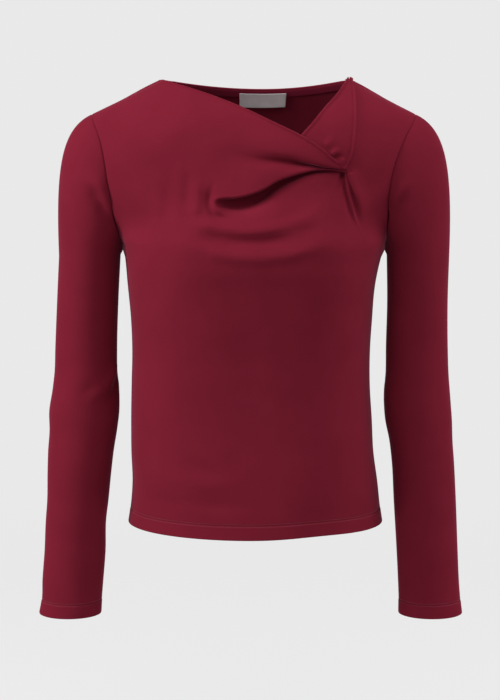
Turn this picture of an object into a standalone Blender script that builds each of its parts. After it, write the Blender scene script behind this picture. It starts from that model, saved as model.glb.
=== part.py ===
"""Twist neck top: a fitted, long-sleeved jersey top, hollow and in the pose of a wearer who isn't there.

The frame is in metres with +Z up. The front faces -Y and the wearer's left is +X. The origin lies midway
between the two high shoulder points, where the top rests on its wearer. Sizes below are in millimetres.

The torso is one smooth form, cut into panels. A point of it has a share p across the panel, from -1 at the
wearer's right side to 1 at the left, and a height z. Each panel is a grid of such points, moved out by its
folds and given a wall that ends squarely in its seams.
"""

import math
from collections import namedtuple

import bpy
import numpy as np

MM = 0.001

CLOTH = 1.4  # wall of one layer of jersey
SEAM_GAP = 0.3  # clearance between pieces where they are sewn
HEM_DEPTH = 16.0  # turned hem of the body and of the cuffs
HEM_EXTRA = 0.9  # what the turned layer adds to the wall

# Seam points of the torso.
HEM_Z = -521.0
UNDERARM_Z = -188.0
SHOULDER_Z = -40.5
HIGH_SHOULDER_Z = -1.0
SHOULDER_X = (-189.0, 187.0)
HIGH_SHOULDER_X = (-106.0, 109.0)
NECK_PEAK_Z = 30.0  # where the shoulder lines would meet above the open neck
BACK_NECK_DROP = 11.5
BACK_NECK_LOW_X = 10.0

# The armhole is an ellipse from the underarm to the shoulder point.
ARMHOLE_MIDDLE_Z = (UNDERARM_Z + SHOULDER_Z) / 2
ARMHOLE_HALF = (SHOULDER_Z - UNDERARM_Z) / 2
ARMHOLE_FRONT = 50.0
ARMHOLE_BACK = 55.0

# How far round the torso a panel turns: a right angle to the side seam, less between the armholes.
SIDE_TURN = math.radians(90)
CHEST_TURN = math.radians(60)
CHEST_RISE = 40.0  # height above the underarm over which one turns into the other

# How finely the panels are divided: columns of points across them, and rows up them.
BODY_ROWS = 11
BACK_ROWS = 12  # above the underarm
SLIT_ROWS = 9  # from the knot up to the shoulder beside the slit
FRONT_SIDE_COLUMNS = 8  # from the wearer's right side to the neck edge
FRONT_NECK_COLUMNS = 22  # from there to the knot
FRONT_STRAP_COLUMNS = 12  # from the knot to the left side
BACK_SIDE_COLUMNS = 7
BACK_NECK_COLUMNS = 14
STRAP_GRID_ROWS = 15
STRAP_GRID_COLUMNS = 9
KNOT_CROWDING = 1.5  # how much closer together the front's columns are towards the knot
EDGE_CROWDING = 0.12  # spacing of the last rows under an edge, against the first ones
SIDEWAYS_FROM = 0.55  # share of the panel from where its rows bend towards the armhole's points

# The twist: where the neck edge meets the strap, and the top of the slit that the strap lies over.
KNOT = (102.0, -100.0)
SLIT_TOP_X = 106.5
KNOT_FADE = 6.0  # distance past the knot over which the gathers end
FOLD_FADE = 8.0  # distance below the knot over which the folds under it rise

Level = namedtuple("Level", "z right left front back")
TORSO_LEVELS = (
    # height, reach to the wearer's right and left, depth of the front and of the back
    Level(-521, 150, 152, 110, 98),
    Level(-508, 148, 150, 109, 97),
    Level(-473, 145, 146, 107, 95),
    Level(-437, 146, 141, 104, 91),
    Level(-401, 146, 139, 101, 86),
    Level(-353, 145, 136, 100, 82),
    Level(-317, 144, 136, 103, 83),
    Level(-281, 145, 138, 109, 88),
    Level(-234, 149, 142, 116, 95),
    Level(-210, 151, 147, 117, 97),
    Level(-188, 154, 153, 115, 98),
    Level(-165, 160, 153, 110, 98),
    Level(-129, 167, 154, 98, 96),
    Level(-97, 171, 160, 86, 90),
    Level(-69, 177, 171, 73, 82),
    Level(-40, 189, 187, 58, 70),
    Level(0, 199, 199, 34, 54),
)

NeckPoint = namedtuple("NeckPoint", "x z")
NECK_EDGE = (
    # the front neck edge, from the wearer's right high shoulder point down to the knot
    NeckPoint(-106, -1),
    NeckPoint(-76, -9),
    NeckPoint(-34, -23),
    NeckPoint(-9, -33),
    NeckPoint(19, -46),
    NeckPoint(54, -63),
    NeckPoint(76, -77),
    NeckPoint(102, -100),
)

DrapeSection = namedtuple("DrapeSection", "x trough ridge crease roll upper_crease upper_roll edge")
DRAPE_HEIGHTS = (
    # upright sections through the gathers at the wearer's right of the knot: where each line lies
    DrapeSection(-106, -165, -152, -128, -112, -80, -55, -1),
    DrapeSection(-75, -166, -152, -131, -117, -78, -55, -9),
    DrapeSection(-54, -167, -154, -136, -123, -80, -58, -16),
    DrapeSection(-30, -170, -157, -140, -128, -84, -65, -24),
    DrapeSection(-6, -170, -158, -135, -122, -86, -71, -34),
    DrapeSection(13, -168, -155, -126, -113, -87, -77, -43),
    DrapeSection(36, -163, -150, -114, -103, -90, -83, -54),
    DrapeSection(53, -158, -144, -109, -100, -93, -87, -62),
    DrapeSection(71, -152, -137, -106, -101, -97, -92, -73),
    DrapeSection(90, -145, -128, -106, -103, -101, -98, -89),
    DrapeSection(102, -140, -120, -107, -105, -103.5, -102, -100),
)
DRAPE_DEPTHS = (
    # the same sections: how far each line stands out from the torso's form
    DrapeSection(-106, 0, 0, 0, 0, 0, 0, 0),
    DrapeSection(-75, 0, 0, 0, 0, 0, 0, 0),
    DrapeSection(-54, -1.0, 1.0, -3.0, 1.5, 0, 0, 0),
    DrapeSection(-30, -2.5, 2.0, -8.0, 5.0, 0, 0.5, 0),
    DrapeSection(-6, -2.5, 1.5, -9.0, 7.5, -0.5, 1.0, 0),
    DrapeSection(13, -2.0, 1.0, -9.0, 8.0, -2.0, 2.5, 1.0),
    DrapeSection(36, -1.0, 0.5, -8.0, 7.0, -3.0, 4.5, 3.0),
    DrapeSection(53, -0.5, 0, -7.0, 5.5, -3.0, 6.0, 4.6),
    DrapeSection(71, 0, 0, -6.0, 3.0, -2.0, 6.0, 4.6),
    DrapeSection(90, 0, 0, -5.0, 0, 0, 4.0, 5.4),
    DrapeSection(102, 0, 0, -3.0, -1.5, 0, 0.3, 0.5),
)
# Where the front's rows of points lie from the underarm (0), over the drape's lines (1 to 6), to the edge (7).
CREASE_ROWS = (0, 0.5, 1, 2, 2.5, 3, 3.5, 4, 4.33, 4.67, 5, 5.5, 6, 6.5, 6.8, 6.95, 7)

Fold = namedtuple("Fold", "u0 v0 u1 v1 u2 v2 height above below start end")
FRONT_FOLDS = (
    # a bent line through three points (x, z), its height (a trough is negative), how wide it spreads above
    # and below the line, and the share of its length over which it grows at its start and fades at its end
    Fold(102, -104, 105, -131, 113, -162, -4.0, 5.0, 4.0, 0.12, 0.60),
    Fold(103, -104, 109, -131, 122, -186, 4.5, 5.5, 7.0, 0.10, 0.70),
    Fold(99, -105, 95, -116, 93, -136, -2.5, 5.0, 5.0, 0.20, 0.60),
)
BACK_FOLDS = (
    Fold(-120, -300, -60, -322, 10, -318, 3.5, 14.0, 10.0, 0.30, 0.50),
    Fold(-128, -332, -66, -350, 0, -344, -3.0, 12.0, 14.0, 0.30, 0.50),
    Fold(118, -318, 60, -336, -4, -330, 3.0, 12.0, 9.0, 0.30, 0.50),
    Fold(120, -352, 70, -366, 10, -362, -3.0, 11.0, 12.0, 0.30, 0.50),
)

SleeveLevel = namedtuple("SleeveLevel", "z outer inner front back")
RIGHT_SLEEVE = (
    # height, reach of the outer and inner side from the middle of the body, depth before and behind the arm
    SleeveLevel(-634, 258, 184, 33, 31),
    SleeveLevel(-618, 255, 183, 33, 31),
    SleeveLevel(-595, 254, 181, 34, 31),
    SleeveLevel(-559, 251, 178, 35, 32),
    SleeveLevel(-522, 249, 177, 37, 33),
    SleeveLevel(-498, 247, 174, 38, 34),
    SleeveLevel(-461, 246, 170, 40, 36),
    SleeveLevel(-437, 245, 167, 41, 37),
    SleeveLevel(-413, 243, 163, 41, 38),
    SleeveLevel(-389, 243, 160, 41, 39),
    SleeveLevel(-365, 239, 160, 40, 40),
    SleeveLevel(-341, 236, 162, 39, 41),
    SleeveLevel(-317, 235, 162, 39, 42),
    SleeveLevel(-258, 232, 160, 42, 43),
    SleeveLevel(-205, 229, 157, 45, 46),
)
LEFT_SLEEVE = (
    SleeveLevel(-634, 249, 173, 33, 31),
    SleeveLevel(-618, 247, 173, 33, 31),
    SleeveLevel(-595, 245, 172, 34, 31),
    SleeveLevel(-559, 243, 170, 35, 32),
    SleeveLevel(-498, 240, 166, 38, 34),
    SleeveLevel(-449, 237, 163, 40, 36),
    SleeveLevel(-425, 235, 160, 41, 37),
    SleeveLevel(-401, 234, 155, 41, 38),
    SleeveLevel(-377, 232, 153, 41, 39),
    SleeveLevel(-341, 229, 155, 40, 40),
    SleeveLevel(-317, 228, 155, 39, 41),
    SleeveLevel(-258, 227, 156, 42, 43),
    SleeveLevel(-205, 228, 155, 45, 46),
)
SLEEVE_GIRTH = 240.0
RIGHT_SLEEVE_FOLDS = (
    # the same columns, with u the distance round the arm: forward from its inner side, or back if negative
    Fold(-4, -338, 16, -366, 47, -398, 3.6, 9.0, 6.0, 0.15, 0.50),
    Fold(-3, -362, 14, -384, 38, -416, -3.6, 6.0, 9.0, 0.15, 0.50),
    Fold(-5, -386, 16, -414, 36, -440, 2.6, 8.0, 9.0, 0.20, 0.60),
    Fold(117, -344, 96, -366, 76, -392, 2.8, 9.0, 7.0, 0.20, 0.60),
    Fold(117, -368, 97, -388, 80, -412, -2.8, 7.0, 8.0, 0.20, 0.60),
    Fold(4, -346, -20, -368, -46, -394, 2.8, 9.0, 7.0, 0.20, 0.60),
    Fold(4, -368, -18, -388, -42, -414, -2.8, 7.0, 8.0, 0.20, 0.60),
)
LEFT_SLEEVE_FOLDS = (
    Fold(-4, -352, 14, -380, 40, -410, 3.0, 9.0, 6.0, 0.15, 0.50),
    Fold(-3, -376, 12, -400, 34, -428, -3.0, 6.0, 9.0, 0.15, 0.50),
    Fold(117, -356, 98, -378, 80, -400, 2.4, 9.0, 7.0, 0.20, 0.60),
    Fold(117, -378, 99, -398, 83, -420, -2.4, 7.0, 8.0, 0.20, 0.60),
    Fold(4, -350, -18, -374, -44, -398, 2.6, 9.0, 7.0, 0.20, 0.60),
    Fold(4, -372, -16, -392, -40, -416, -2.6, 7.0, 8.0, 0.20, 0.60),
)
CapPull = namedtuple("CapPull", "out forward down near far swell")
CAP_PULLS = (
    # how a sleeve leaves its seam, at the underarm and at the shoulder point: its direction, how far it keeps
    # to it and to the upright below, as shares of the way between, and how far it swells out there in mm
    CapPull(0.25, 0.22, 0.95, 0.23, 0.28, 0.0),
    CapPull(0.95, 0.22, 0.43, 0.23, 0.62, 3.0),
)
ELBOW_TOP_Z = -330.0
ELBOW_BOTTOM_Z = -450.0
CAP_RINGS = 6
UPPER_ARM_RINGS = 4
ELBOW_RINGS = 10
FOREARM_RINGS = 5

# Strap: from the wearer's left high shoulder point to its hidden end behind the neck band.
StrapRow = namedtuple("StrapRow", "inner_x inner_z outer_x outer_z")
STRAP_ROWS = (
    StrapRow(105.5, -0.6, 113.0, -2.6),
    StrapRow(93, -18.5, 114.8, -20),
    StrapRow(79, -33, 114.2, -42),
    StrapRow(66, -48, 112.0, -64),
    StrapRow(55, -60, 107.5, -83),
    StrapRow(46, -71, 102.0, -96),
)
STRAP_SAG = 4.0  # how far the strap's hidden end hangs below a straight line
STRAP_LIFT = CLOTH + 0.6  # strap's outer face above that of the panel under it
STRAP_CROWDING = 1.7  # how much closer together its rows are towards the shoulder

# Tape along the inside of the back neck, and the blank size label on it.
TAPE_TOP = 0.8  # below the neck edge
TAPE_WIDTH = 8.0
TAPE_END = 15.0  # from the high shoulder points
TAPE_CLOTH = 1.0
LABEL_X = (-17.5, 38.0)
LABEL_TOP = 4.0
LABEL_HEIGHT = 17.5
LABEL_CLOTH = 1.0

CLOTH_COLOUR = (0.165, 0.012, 0.026)
LABEL_COLOUR = (0.17, 0.15, 0.155)


def smooth(at, table_at, values):
    """A cubic curve through a table's values, with slopes taken from their neighbours."""
    table_at, values = np.asarray(table_at, float), np.asarray(values, float)
    slopes = np.gradient(values, table_at)
    at = np.clip(at, table_at[0], table_at[-1])
    i = np.clip(np.searchsorted(table_at, at, side="right") - 1, 0, len(table_at) - 2)
    step = table_at[i + 1] - table_at[i]
    t = (at - table_at[i]) / step
    return (
        (2 * t**3 - 3 * t**2 + 1) * values[i]
        + (t**3 - 2 * t**2 + t) * step * slopes[i]
        + (3 * t**2 - 2 * t**3) * values[i + 1]
        + (t**3 - t**2) * step * slopes[i + 1]
    )


def column(rows, name):
    return [getattr(row, name) for row in rows]


def level(z, name, rows=TORSO_LEVELS):
    """One column of a table of levels at any height."""
    return smooth(z, column(rows, "z"), column(rows, name))


def ease(t):
    """From 0 to 1 with no slope at either end."""
    t = np.clip(t, 0, 1)
    return t * t * (3 - 2 * t)


def panel_turn(z):
    share = ease((z - UNDERARM_Z) / CHEST_RISE)
    return SIDE_TURN + (CHEST_TURN - SIDE_TURN) * share


def across(p, z):
    """x of the share p of a panel at height z."""
    right, left, turn = level(z, "right"), level(z, "left"), panel_turn(z)
    return (left - right) / 2 + (left + right) / 2 * np.sin(turn * p) / np.sin(turn)


def share_at(x, z):
    """The share p of a panel that has this x at height z."""
    right, left, turn = level(z, "right"), level(z, "left"), panel_turn(z)
    return np.arcsin((x - (left - right) / 2) / ((left + right) / 2) * np.sin(turn)) / turn


def ridge_height(x):
    """Height of the shoulder line, which goes on over the open neck as a low arch."""
    neck = NECK_PEAK_Z + (HIGH_SHOULDER_Z - NECK_PEAK_Z) * (x / np.where(x < 0, *HIGH_SHOULDER_X)) ** 2
    line = np.interp(
        x,
        (SHOULDER_X[0], HIGH_SHOULDER_X[0], HIGH_SHOULDER_X[1], SHOULDER_X[1]),
        (SHOULDER_Z, HIGH_SHOULDER_Z, HIGH_SHOULDER_Z, SHOULDER_Z),
    )
    return np.where((x > HIGH_SHOULDER_X[0]) & (x < HIGH_SHOULDER_X[1]), neck, line)


def ridge_of(p):
    """Height at which the share p reaches the shoulder line."""
    z = np.full(np.shape(p), (SHOULDER_Z + HIGH_SHOULDER_Z) / 2)
    for _ in range(8):
        z = ridge_height(across(p, z))
    return z


def torso(p, z, face):
    """Points of the torso's form: face is -1 for the front and 1 for the back."""
    depth = level(z, "front" if face < 0 else "back")
    edge = ARMHOLE_FRONT if face < 0 else ARMHOLE_BACK
    below = np.clip((ARMHOLE_MIDDLE_Z - z) / ARMHOLE_HALF, 0, 1)
    edge = edge * np.sqrt(1 - below**2)
    turn = panel_turn(z)
    crown = (np.cos(turn * p) - np.cos(turn)) / (1 - np.cos(turn))
    arch = np.sqrt(1 - np.clip(1 - (ridge_of(p) - z) / ARMHOLE_HALF, 0, 1) ** 2)
    y = face * ((edge + (depth - edge) * crown) * arch + SEAM_GAP / 2)
    return np.stack([across(p, z), y, z], axis=-1)


def fold_height(u, v, folds):
    """Sum of the folds at points (u, v). A fold's cross-section is a bell, steeper on one side."""
    total = np.zeros(np.shape(u))
    t = np.linspace(0, 1, 48)
    for fold in folds:
        line_u = (1 - t) ** 2 * fold.u0 + 2 * t * (1 - t) * fold.u1 + t**2 * fold.u2
        line_v = (1 - t) ** 2 * fold.v0 + 2 * t * (1 - t) * fold.v1 + t**2 * fold.v2
        away_u, away_v = u[..., None] - line_u, v[..., None] - line_v
        near = np.argmin(away_u**2 + away_v**2, axis=-1)
        pick = np.expand_dims(near, -1)
        away_u = np.take_along_axis(away_u, pick, -1)[..., 0]
        away_v = np.take_along_axis(away_v, pick, -1)[..., 0]
        run_u, run_v = np.gradient(line_u)[near], np.gradient(line_v)[near]
        side = run_u * away_v - run_v * away_u
        if fold.u2 < fold.u0:
            side = -side
        width = np.where(side > 0, fold.above, fold.below)
        bell = np.exp(-(away_u**2 + away_v**2) / width**2)
        total = total + fold.height * bell * ease(t[near] / fold.start) * ease((1 - t[near]) / fold.end)
    return total


def neck_edge_height(x):
    return smooth(x, column(NECK_EDGE, "x"), column(NECK_EDGE, "z"))


def drape_lines(x, table, underarm):
    """Values of the drape's lines at x along a new last axis: the underarm's, as given, up to the neck edge's."""
    lines = [smooth(x, column(table, "x"), column(table, name)) for name in DrapeSection._fields[1:]]
    return np.stack([np.full(np.shape(x), underarm, float), *lines], axis=-1)


def drape(x, z):
    """How far the gathers stand out: each upright section swings smoothly from line to line."""
    heights, depths = drape_lines(x, DRAPE_HEIGHTS, UNDERARM_Z), drape_lines(x, DRAPE_DEPTHS, 0.0)
    total = np.zeros(np.shape(x))
    for i in range(heights.shape[-1] - 1):
        share = (z - heights[..., i]) / (heights[..., i + 1] - heights[..., i])
        total = total + (depths[..., i + 1] - depths[..., i]) * ease(share)
    return total * ease((KNOT[0] + KNOT_FADE - x) / KNOT_FADE)


def crease_shares(x):
    """Shares of the height from the underarm to the neck edge at which the front's rows cross x."""
    heights = drape_lines(np.clip(x, HIGH_SHOULDER_X[0], KNOT[0]), DRAPE_HEIGHTS, UNDERARM_Z)
    shares = (heights - UNDERARM_Z) / (heights[..., -1:] - UNDERARM_Z)
    return np.stack([np.interp(CREASE_ROWS, range(len(line)), line) for line in shares], axis=-1)


def grid_faces(numbers):
    """Four-sided faces over a grid of vertex numbers, rows upwards and columns to the right."""
    a, b, c, d = numbers[:-1, :-1], numbers[:-1, 1:], numbers[1:, 1:], numbers[1:, :-1]
    return np.stack([a, b, c, d], axis=-1).reshape(-1, 4)


def normals(points, faces):
    """Unit vertex normals of a mesh of four-sided faces."""
    corners = points[faces]
    face_normal = np.cross(corners[:, 2] - corners[:, 0], corners[:, 3] - corners[:, 1])
    total = np.zeros(points.shape)
    for i in range(4):
        np.add.at(total, faces[:, i], face_normal)
    return total / np.linalg.norm(total, axis=1, keepdims=True)


def rim_edges(faces):
    """Directed edges that only one face has."""
    edges = np.concatenate([faces[:, [i, (i + 1) % 4]] for i in range(4)])
    edges = edges[edges[:, 0] != edges[:, 1]]
    _, index, count = np.unique(np.sort(edges, axis=1), axis=0, return_inverse=True, return_counts=True)
    return edges[count[index.reshape(-1)] == 1]


def wall(name, points, faces, inward, material, collection):
    """A closed cloth wall: the outer points, the same points moved inward, and rims between them."""
    count = len(points)
    rim = rim_edges(faces)
    rims = np.stack([rim[:, 1], rim[:, 0], rim[:, 0] + count, rim[:, 1] + count], axis=1)
    every = np.concatenate([faces, faces[:, [0, 3, 2, 1]] + count, rims])
    mesh = bpy.data.meshes.new(name)
    mesh.from_pydata((np.concatenate([points, points + inward]) * MM).tolist(), [], every.tolist())
    mesh.validate()
    mesh.shade_smooth()
    mesh.set_sharp_from_angle(angle=math.radians(50))
    mesh.materials.append(material)
    piece = bpy.data.objects.new(name, mesh)
    collection.objects.link(piece)
    return piece


def square_to_seam(inward, on_seam):
    """Inward directions kept in the seam plane y = 0, so that two walls end face to face."""
    inward = np.where(on_seam[:, None], inward * (1, 0, 1), inward)
    return inward / np.linalg.norm(inward, axis=1, keepdims=True)


def armhole_inward(points, side, own_side):
    """Inward directions round an armhole, towards its middle, and apart where the walls hang back to back."""
    turn = np.arctan2(points[:, 1] / ARMHOLE_FRONT, (ARMHOLE_MIDDLE_Z - points[:, 2]) / ARMHOLE_HALF)
    apart = np.clip(np.cos(turn), 0, 1) ** 2
    inward = np.stack([side * own_side * apart, -np.sin(turn), np.cos(turn)], axis=1)
    return inward / np.linalg.norm(inward, axis=1, keepdims=True)


def hem_thickness(z, edge_z):
    """Wall thickness, with the turned hem's extra layer next to the edge."""
    return CLOTH + HEM_EXTRA * (z < edge_z + HEM_DEPTH + 1)


def panel_walls(points, faces, p, z):
    """Inward vectors of a torso panel, squared to its side, shoulder and armhole seams."""
    inward = -normals(points, faces)
    at_armhole = (np.abs(p) > 1 - 1e-6) & (z > UNDERARM_Z - 1)
    on_seam = np.abs(points[:, 1]) < SEAM_GAP / 2 + 1e-3
    inward = square_to_seam(inward, on_seam & ~at_armhole)
    side = np.sign(p)
    mitred = armhole_inward(points, side, -1)
    inward = np.where(at_armhole[:, None], mitred, inward)
    return inward * hem_thickness(z, HEM_Z)[:, None]


def toward(low, high, count, crowd=1.0):
    """count + 1 values from low to high, closer together near high when crowd is over 1."""
    return low + (high - low) * (1 - (1 - np.linspace(0, 1, count + 1)) ** crowd)


def crowded(count):
    """count + 1 shares from 0 to 1, ever closer together near 1."""
    left = 1 - np.linspace(0, 1, count + 1)
    return 1 - (1 + EDGE_CROWDING) * left**2 / (left + EDGE_CROWDING)


def body_rows():
    """Heights of the rows that all columns share, from the hem to just below the underarm."""
    hem = [HEM_Z, HEM_Z + HEM_DEPTH / 2]
    return np.concatenate([hem, np.linspace(HEM_Z + HEM_DEPTH, UNDERARM_Z, BODY_ROWS + 1)[:-1]])


def armhole_turns(count):
    """Turns round one half of the armhole, from the underarm to the shoulder point."""
    return np.linspace(0, math.pi, count + 1)


def chest_rows(p, top, shares, turns):
    """Heights of the rows over the underarm: by shares in mid-panel, and by the armhole's turns at its side."""
    sideways = ease((np.abs(p) - SIDEWAYS_FROM) / (1 - SIDEWAYS_FROM))
    blend = shares + ((1 - np.cos(turns[:, None])) / 2 - shares) * sideways
    return UNDERARM_Z + (top - UNDERARM_Z) * blend


def with_body(p, chest_z):
    """A panel's grid: the rows of the body below the rows of the chest."""
    rows = np.repeat(body_rows()[:, None], chest_z.shape[1], axis=1)
    z = np.concatenate([rows, chest_z])
    return np.concatenate([np.repeat(p[:1], len(rows), axis=0), p]), z


def front_grid():
    """Shares and heights of the front's points, and the faces of its two joined blocks.

    The block on the wearer's right ends at the neck edge. The other goes on up to the shoulder beside the
    slit. Below the knot they share a column of points.
    """
    knot_p = float(share_at(*KNOT))
    neck_p = float(share_at(HIGH_SHOULDER_X[0], HIGH_SHOULDER_Z))
    neck_columns = toward(neck_p, knot_p, FRONT_NECK_COLUMNS, KNOT_CROWDING)
    right = np.concatenate([toward(-1, neck_p, FRONT_SIDE_COLUMNS), neck_columns[1:]])
    neck_z = np.zeros(len(right))
    for _ in range(8):
        neck_z = neck_edge_height(across(right, neck_z))
    top = np.where(right <= neck_p, ridge_of(right), neck_z)
    top[-1] = KNOT[1]
    crease_rows = len(CREASE_ROWS) - 1
    chest = chest_rows(right, top, crease_shares(across(right, top)), armhole_turns(crease_rows))
    p_right, z_right = with_body(np.repeat(right[None], len(chest), 0), chest)

    slit_top_p = float(share_at(SLIT_TOP_X, HIGH_SHOULDER_Z))
    share = toward(1, 0, FRONT_STRAP_COLUMNS, KNOT_CROWDING)[::-1]
    top = ridge_of(slit_top_p + (1 - slit_top_p) * share)
    knot_share = (KNOT[1] - UNDERARM_Z) / (top[0] - UNDERARM_Z)
    low, high = crease_shares(np.array([KNOT[0]]))[:, 0], crowded(SLIT_ROWS)[1:]
    shares = np.concatenate([knot_share * low, knot_share + (1 - knot_share) * high])
    steps = np.concatenate([np.arange(crease_rows) / 2, crease_rows / 2 + np.arange(SLIT_ROWS + 1)])
    chest = chest_rows(share, top, shares[:, None], math.pi * steps / steps[-1])
    climb = np.clip((chest[:, :1] - KNOT[1]) / (top[0] - KNOT[1]), 0, 1)
    edge_p = np.where(climb > 0, share_at(KNOT[0] + (SLIT_TOP_X - KNOT[0]) * climb, chest[:, :1]), knot_p)
    p_left, z_left = with_body(edge_p + (1 - edge_p) * share, chest)

    numbers_right = np.arange(z_right.size).reshape(z_right.shape)
    numbers_left = z_right.size + np.arange(z_left.size).reshape(z_left.shape)
    numbers_left[: len(z_right), 0] = numbers_right[:, -1]
    faces = np.concatenate([grid_faces(numbers_right), grid_faces(numbers_left)])
    used, faces = np.unique(faces, return_inverse=True)
    p = np.concatenate([p_right.ravel(), p_left.ravel()])[used]
    z = np.concatenate([z_right.ravel(), z_left.ravel()])[used]
    return p, z, used >= z_right.size, faces.reshape(-1, 4)


def make_front(material, collection):
    """Front panel: the folds run out from the knot, and the neck band stands clear of the strap."""
    p, z, beside_slit, faces = front_grid()
    points = torso(p, z, -1)
    x = points[:, 0]
    under_strap = beside_slit & (z > KNOT[1])
    folds = fold_height(x, z, FRONT_FOLDS) * ease((KNOT[1] - z) / FOLD_FADE)
    points[:, 1] -= folds + np.where(under_strap, 0, drape(x, z))
    inward = panel_walls(points, faces, p, z)
    return wall("front", points, faces, inward, material, collection)


def back_neck_height(x):
    """Height of the back neck edge: a shallow curve between the high shoulder points."""
    from_low = x - BACK_NECK_LOW_X
    reach = np.where(from_low < 0, *HIGH_SHOULDER_X) - BACK_NECK_LOW_X
    return HIGH_SHOULDER_Z - BACK_NECK_DROP * (1 - (from_low / reach) ** 2)


def back_panel():
    """Grids of the back's points and inward directions, and each point's share and height."""
    neck_p = [float(share_at(x, HIGH_SHOULDER_Z)) for x in HIGH_SHOULDER_X]
    p = np.concatenate(
        [
            toward(-1, neck_p[0], BACK_SIDE_COLUMNS),
            toward(*neck_p, BACK_NECK_COLUMNS)[1:],
            toward(neck_p[1], 1, BACK_SIDE_COLUMNS)[1:],
        ]
    )
    neck_z = np.full(len(p), -5.0)
    for _ in range(8):
        neck_z = back_neck_height(across(p, neck_z))
    in_neck = (p > neck_p[0]) & (p < neck_p[1])
    top = np.where(in_neck, neck_z, ridge_of(p))
    chest = chest_rows(p, top, crowded(BACK_ROWS)[:, None], armhole_turns(BACK_ROWS))
    p, z = with_body(np.repeat(p[None], len(chest), 0), chest)
    p, z = p[:, ::-1], z[:, ::-1]
    faces = grid_faces(np.arange(p.size).reshape(p.shape))
    points = torso(p, z, 1)
    points[..., 1] += fold_height(points[..., 0], z, BACK_FOLDS)
    inward = panel_walls(points.reshape(-1, 3), faces, p.ravel(), z.ravel())
    return points, inward.reshape(points.shape), faces


def make_back(panel, material, collection):
    points, inward, faces = panel
    return wall("back", points.reshape(-1, 3), faces, inward.reshape(-1, 3), material, collection)


def over_front(x, z, lift):
    """Points at (x, z) of the front's form, moved out by lift."""
    p, step = share_at(x, z), 0.5
    points = torso(p, z, -1)
    beside = torso(share_at(x + step, z), z, -1) - points
    below = torso(p, z - step, -1) - points
    out = np.cross(beside, -below)
    return points + lift * out / np.linalg.norm(out, axis=-1, keepdims=True)


def make_strap(material, collection):
    """Strap over the wearer's left breast, from the shoulder seam to its end behind the neck band."""
    end = len(STRAP_ROWS) - 1
    at = toward(end, 0, STRAP_GRID_ROWS - 1, STRAP_CROWDING)[::-1]
    table = [smooth(at, range(end + 1), column(STRAP_ROWS, name)) for name in StrapRow._fields]
    inner_x, inner_z, outer_x, outer_z = (values[:, None] for values in table)
    share = np.linspace(0, 1, STRAP_GRID_COLUMNS)[None]
    x = inner_x + (outer_x - inner_x) * share
    sag = STRAP_SAG * (at[:, None] / end) ** 2 * np.sin(math.pi * share)
    z = inner_z + (outer_z - inner_z) * share - sag
    z = np.minimum(z, ridge_height(x) - SEAM_GAP / 4)
    points = over_front(x, z, STRAP_LIFT)[::-1].reshape(-1, 3)
    faces = grid_faces(np.arange(x.size).reshape(x.shape))
    return wall("neck_strap", points, faces, -normals(points, faces) * CLOTH, material, collection)


def cells(low, high):
    """Grid positions from low to high, with every whole grid line between them."""
    return np.array([low, *range(math.floor(low) + 1, math.ceil(high)), high], float)


def between(grid, rows, columns):
    """Values of a grid at fractional rows and columns, so that they lie on its faces."""
    row, column_at = np.meshgrid(rows, columns, indexing="ij")
    i = np.clip(row.astype(int), 0, grid.shape[0] - 2)
    j = np.clip(column_at.astype(int), 0, grid.shape[1] - 2)
    s, t = (row - i)[..., None], (column_at - j)[..., None]
    low = grid[i, j] * (1 - t) + grid[i, j + 1] * t
    return low * (1 - s) + (grid[i + 1, j] * (1 - t) + grid[i + 1, j + 1] * t) * s


def lining_piece(name, panel, x_range, z_below, clear, thickness, material, collection):
    """A thin strip inside the back: the panel's own points, moved in past its wall by clear."""
    points, inward, _ = panel
    middle = points.shape[1] // 2
    columns = np.interp([-x for x in x_range[::-1]], -points[-1, :, 0], range(points.shape[1]))
    drop = points[-1, middle, 2] - points[::-1, middle, 2]
    rows = len(drop) - 1 - np.interp(z_below[::-1], drop, range(len(drop)))
    rows, columns = cells(*rows), cells(*columns)
    start, into = between(points, rows, columns), between(inward, rows, columns)
    into /= np.linalg.norm(into, axis=-1, keepdims=True)
    faces = grid_faces(np.arange(start[..., 0].size).reshape(start.shape[:2]))
    outer = (start + into * (CLOTH + clear)).reshape(-1, 3)
    return wall(name, outer, faces, into.reshape(-1, 3) * thickness, material, collection)


def make_tape(panel, material, collection):
    """Tape that covers the back neck seam on the inside."""
    reach = (HIGH_SHOULDER_X[0] + TAPE_END, HIGH_SHOULDER_X[1] - TAPE_END)
    below = (TAPE_TOP, TAPE_TOP + TAPE_WIDTH)
    return lining_piece("neck_tape", panel, reach, below, SEAM_GAP, TAPE_CLOTH, material, collection)


def make_label(panel, material, collection):
    """Blank woven label, sewn to the tape by its top edge."""
    below = (LABEL_TOP, LABEL_TOP + LABEL_HEIGHT)
    clear = 2 * SEAM_GAP + TAPE_CLOTH
    return lining_piece("size_label", panel, LABEL_X, below, clear, LABEL_CLOTH, material, collection)


def armhole_ring(turn, side):
    """Armhole seam at angles from the underarm, forward and up to the shoulder point."""
    z = ARMHOLE_MIDDLE_Z - ARMHOLE_HALF * np.cos(turn)
    reach = level(z, "right" if side < 0 else "left")
    depth = np.where(np.sin(turn) > 0, ARMHOLE_FRONT, ARMHOLE_BACK)
    y = -(depth + SEAM_GAP / 2) * np.sin(turn)
    return np.stack([side * (reach + SEAM_GAP), y, z], axis=-1)


def sleeve_ring(turn, z, rows, side):
    """Level ring round the arm at height z."""
    outer, inner = level(z, "outer", rows), level(z, "inner", rows)
    depth = np.where(np.sin(turn) > 0, level(z, "front", rows), level(z, "back", rows))
    x = (outer + inner) / 2 - (outer - inner) / 2 * np.cos(turn)
    return np.stack([side * x, -depth * np.sin(turn), z + 0 * turn], axis=-1)


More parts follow.
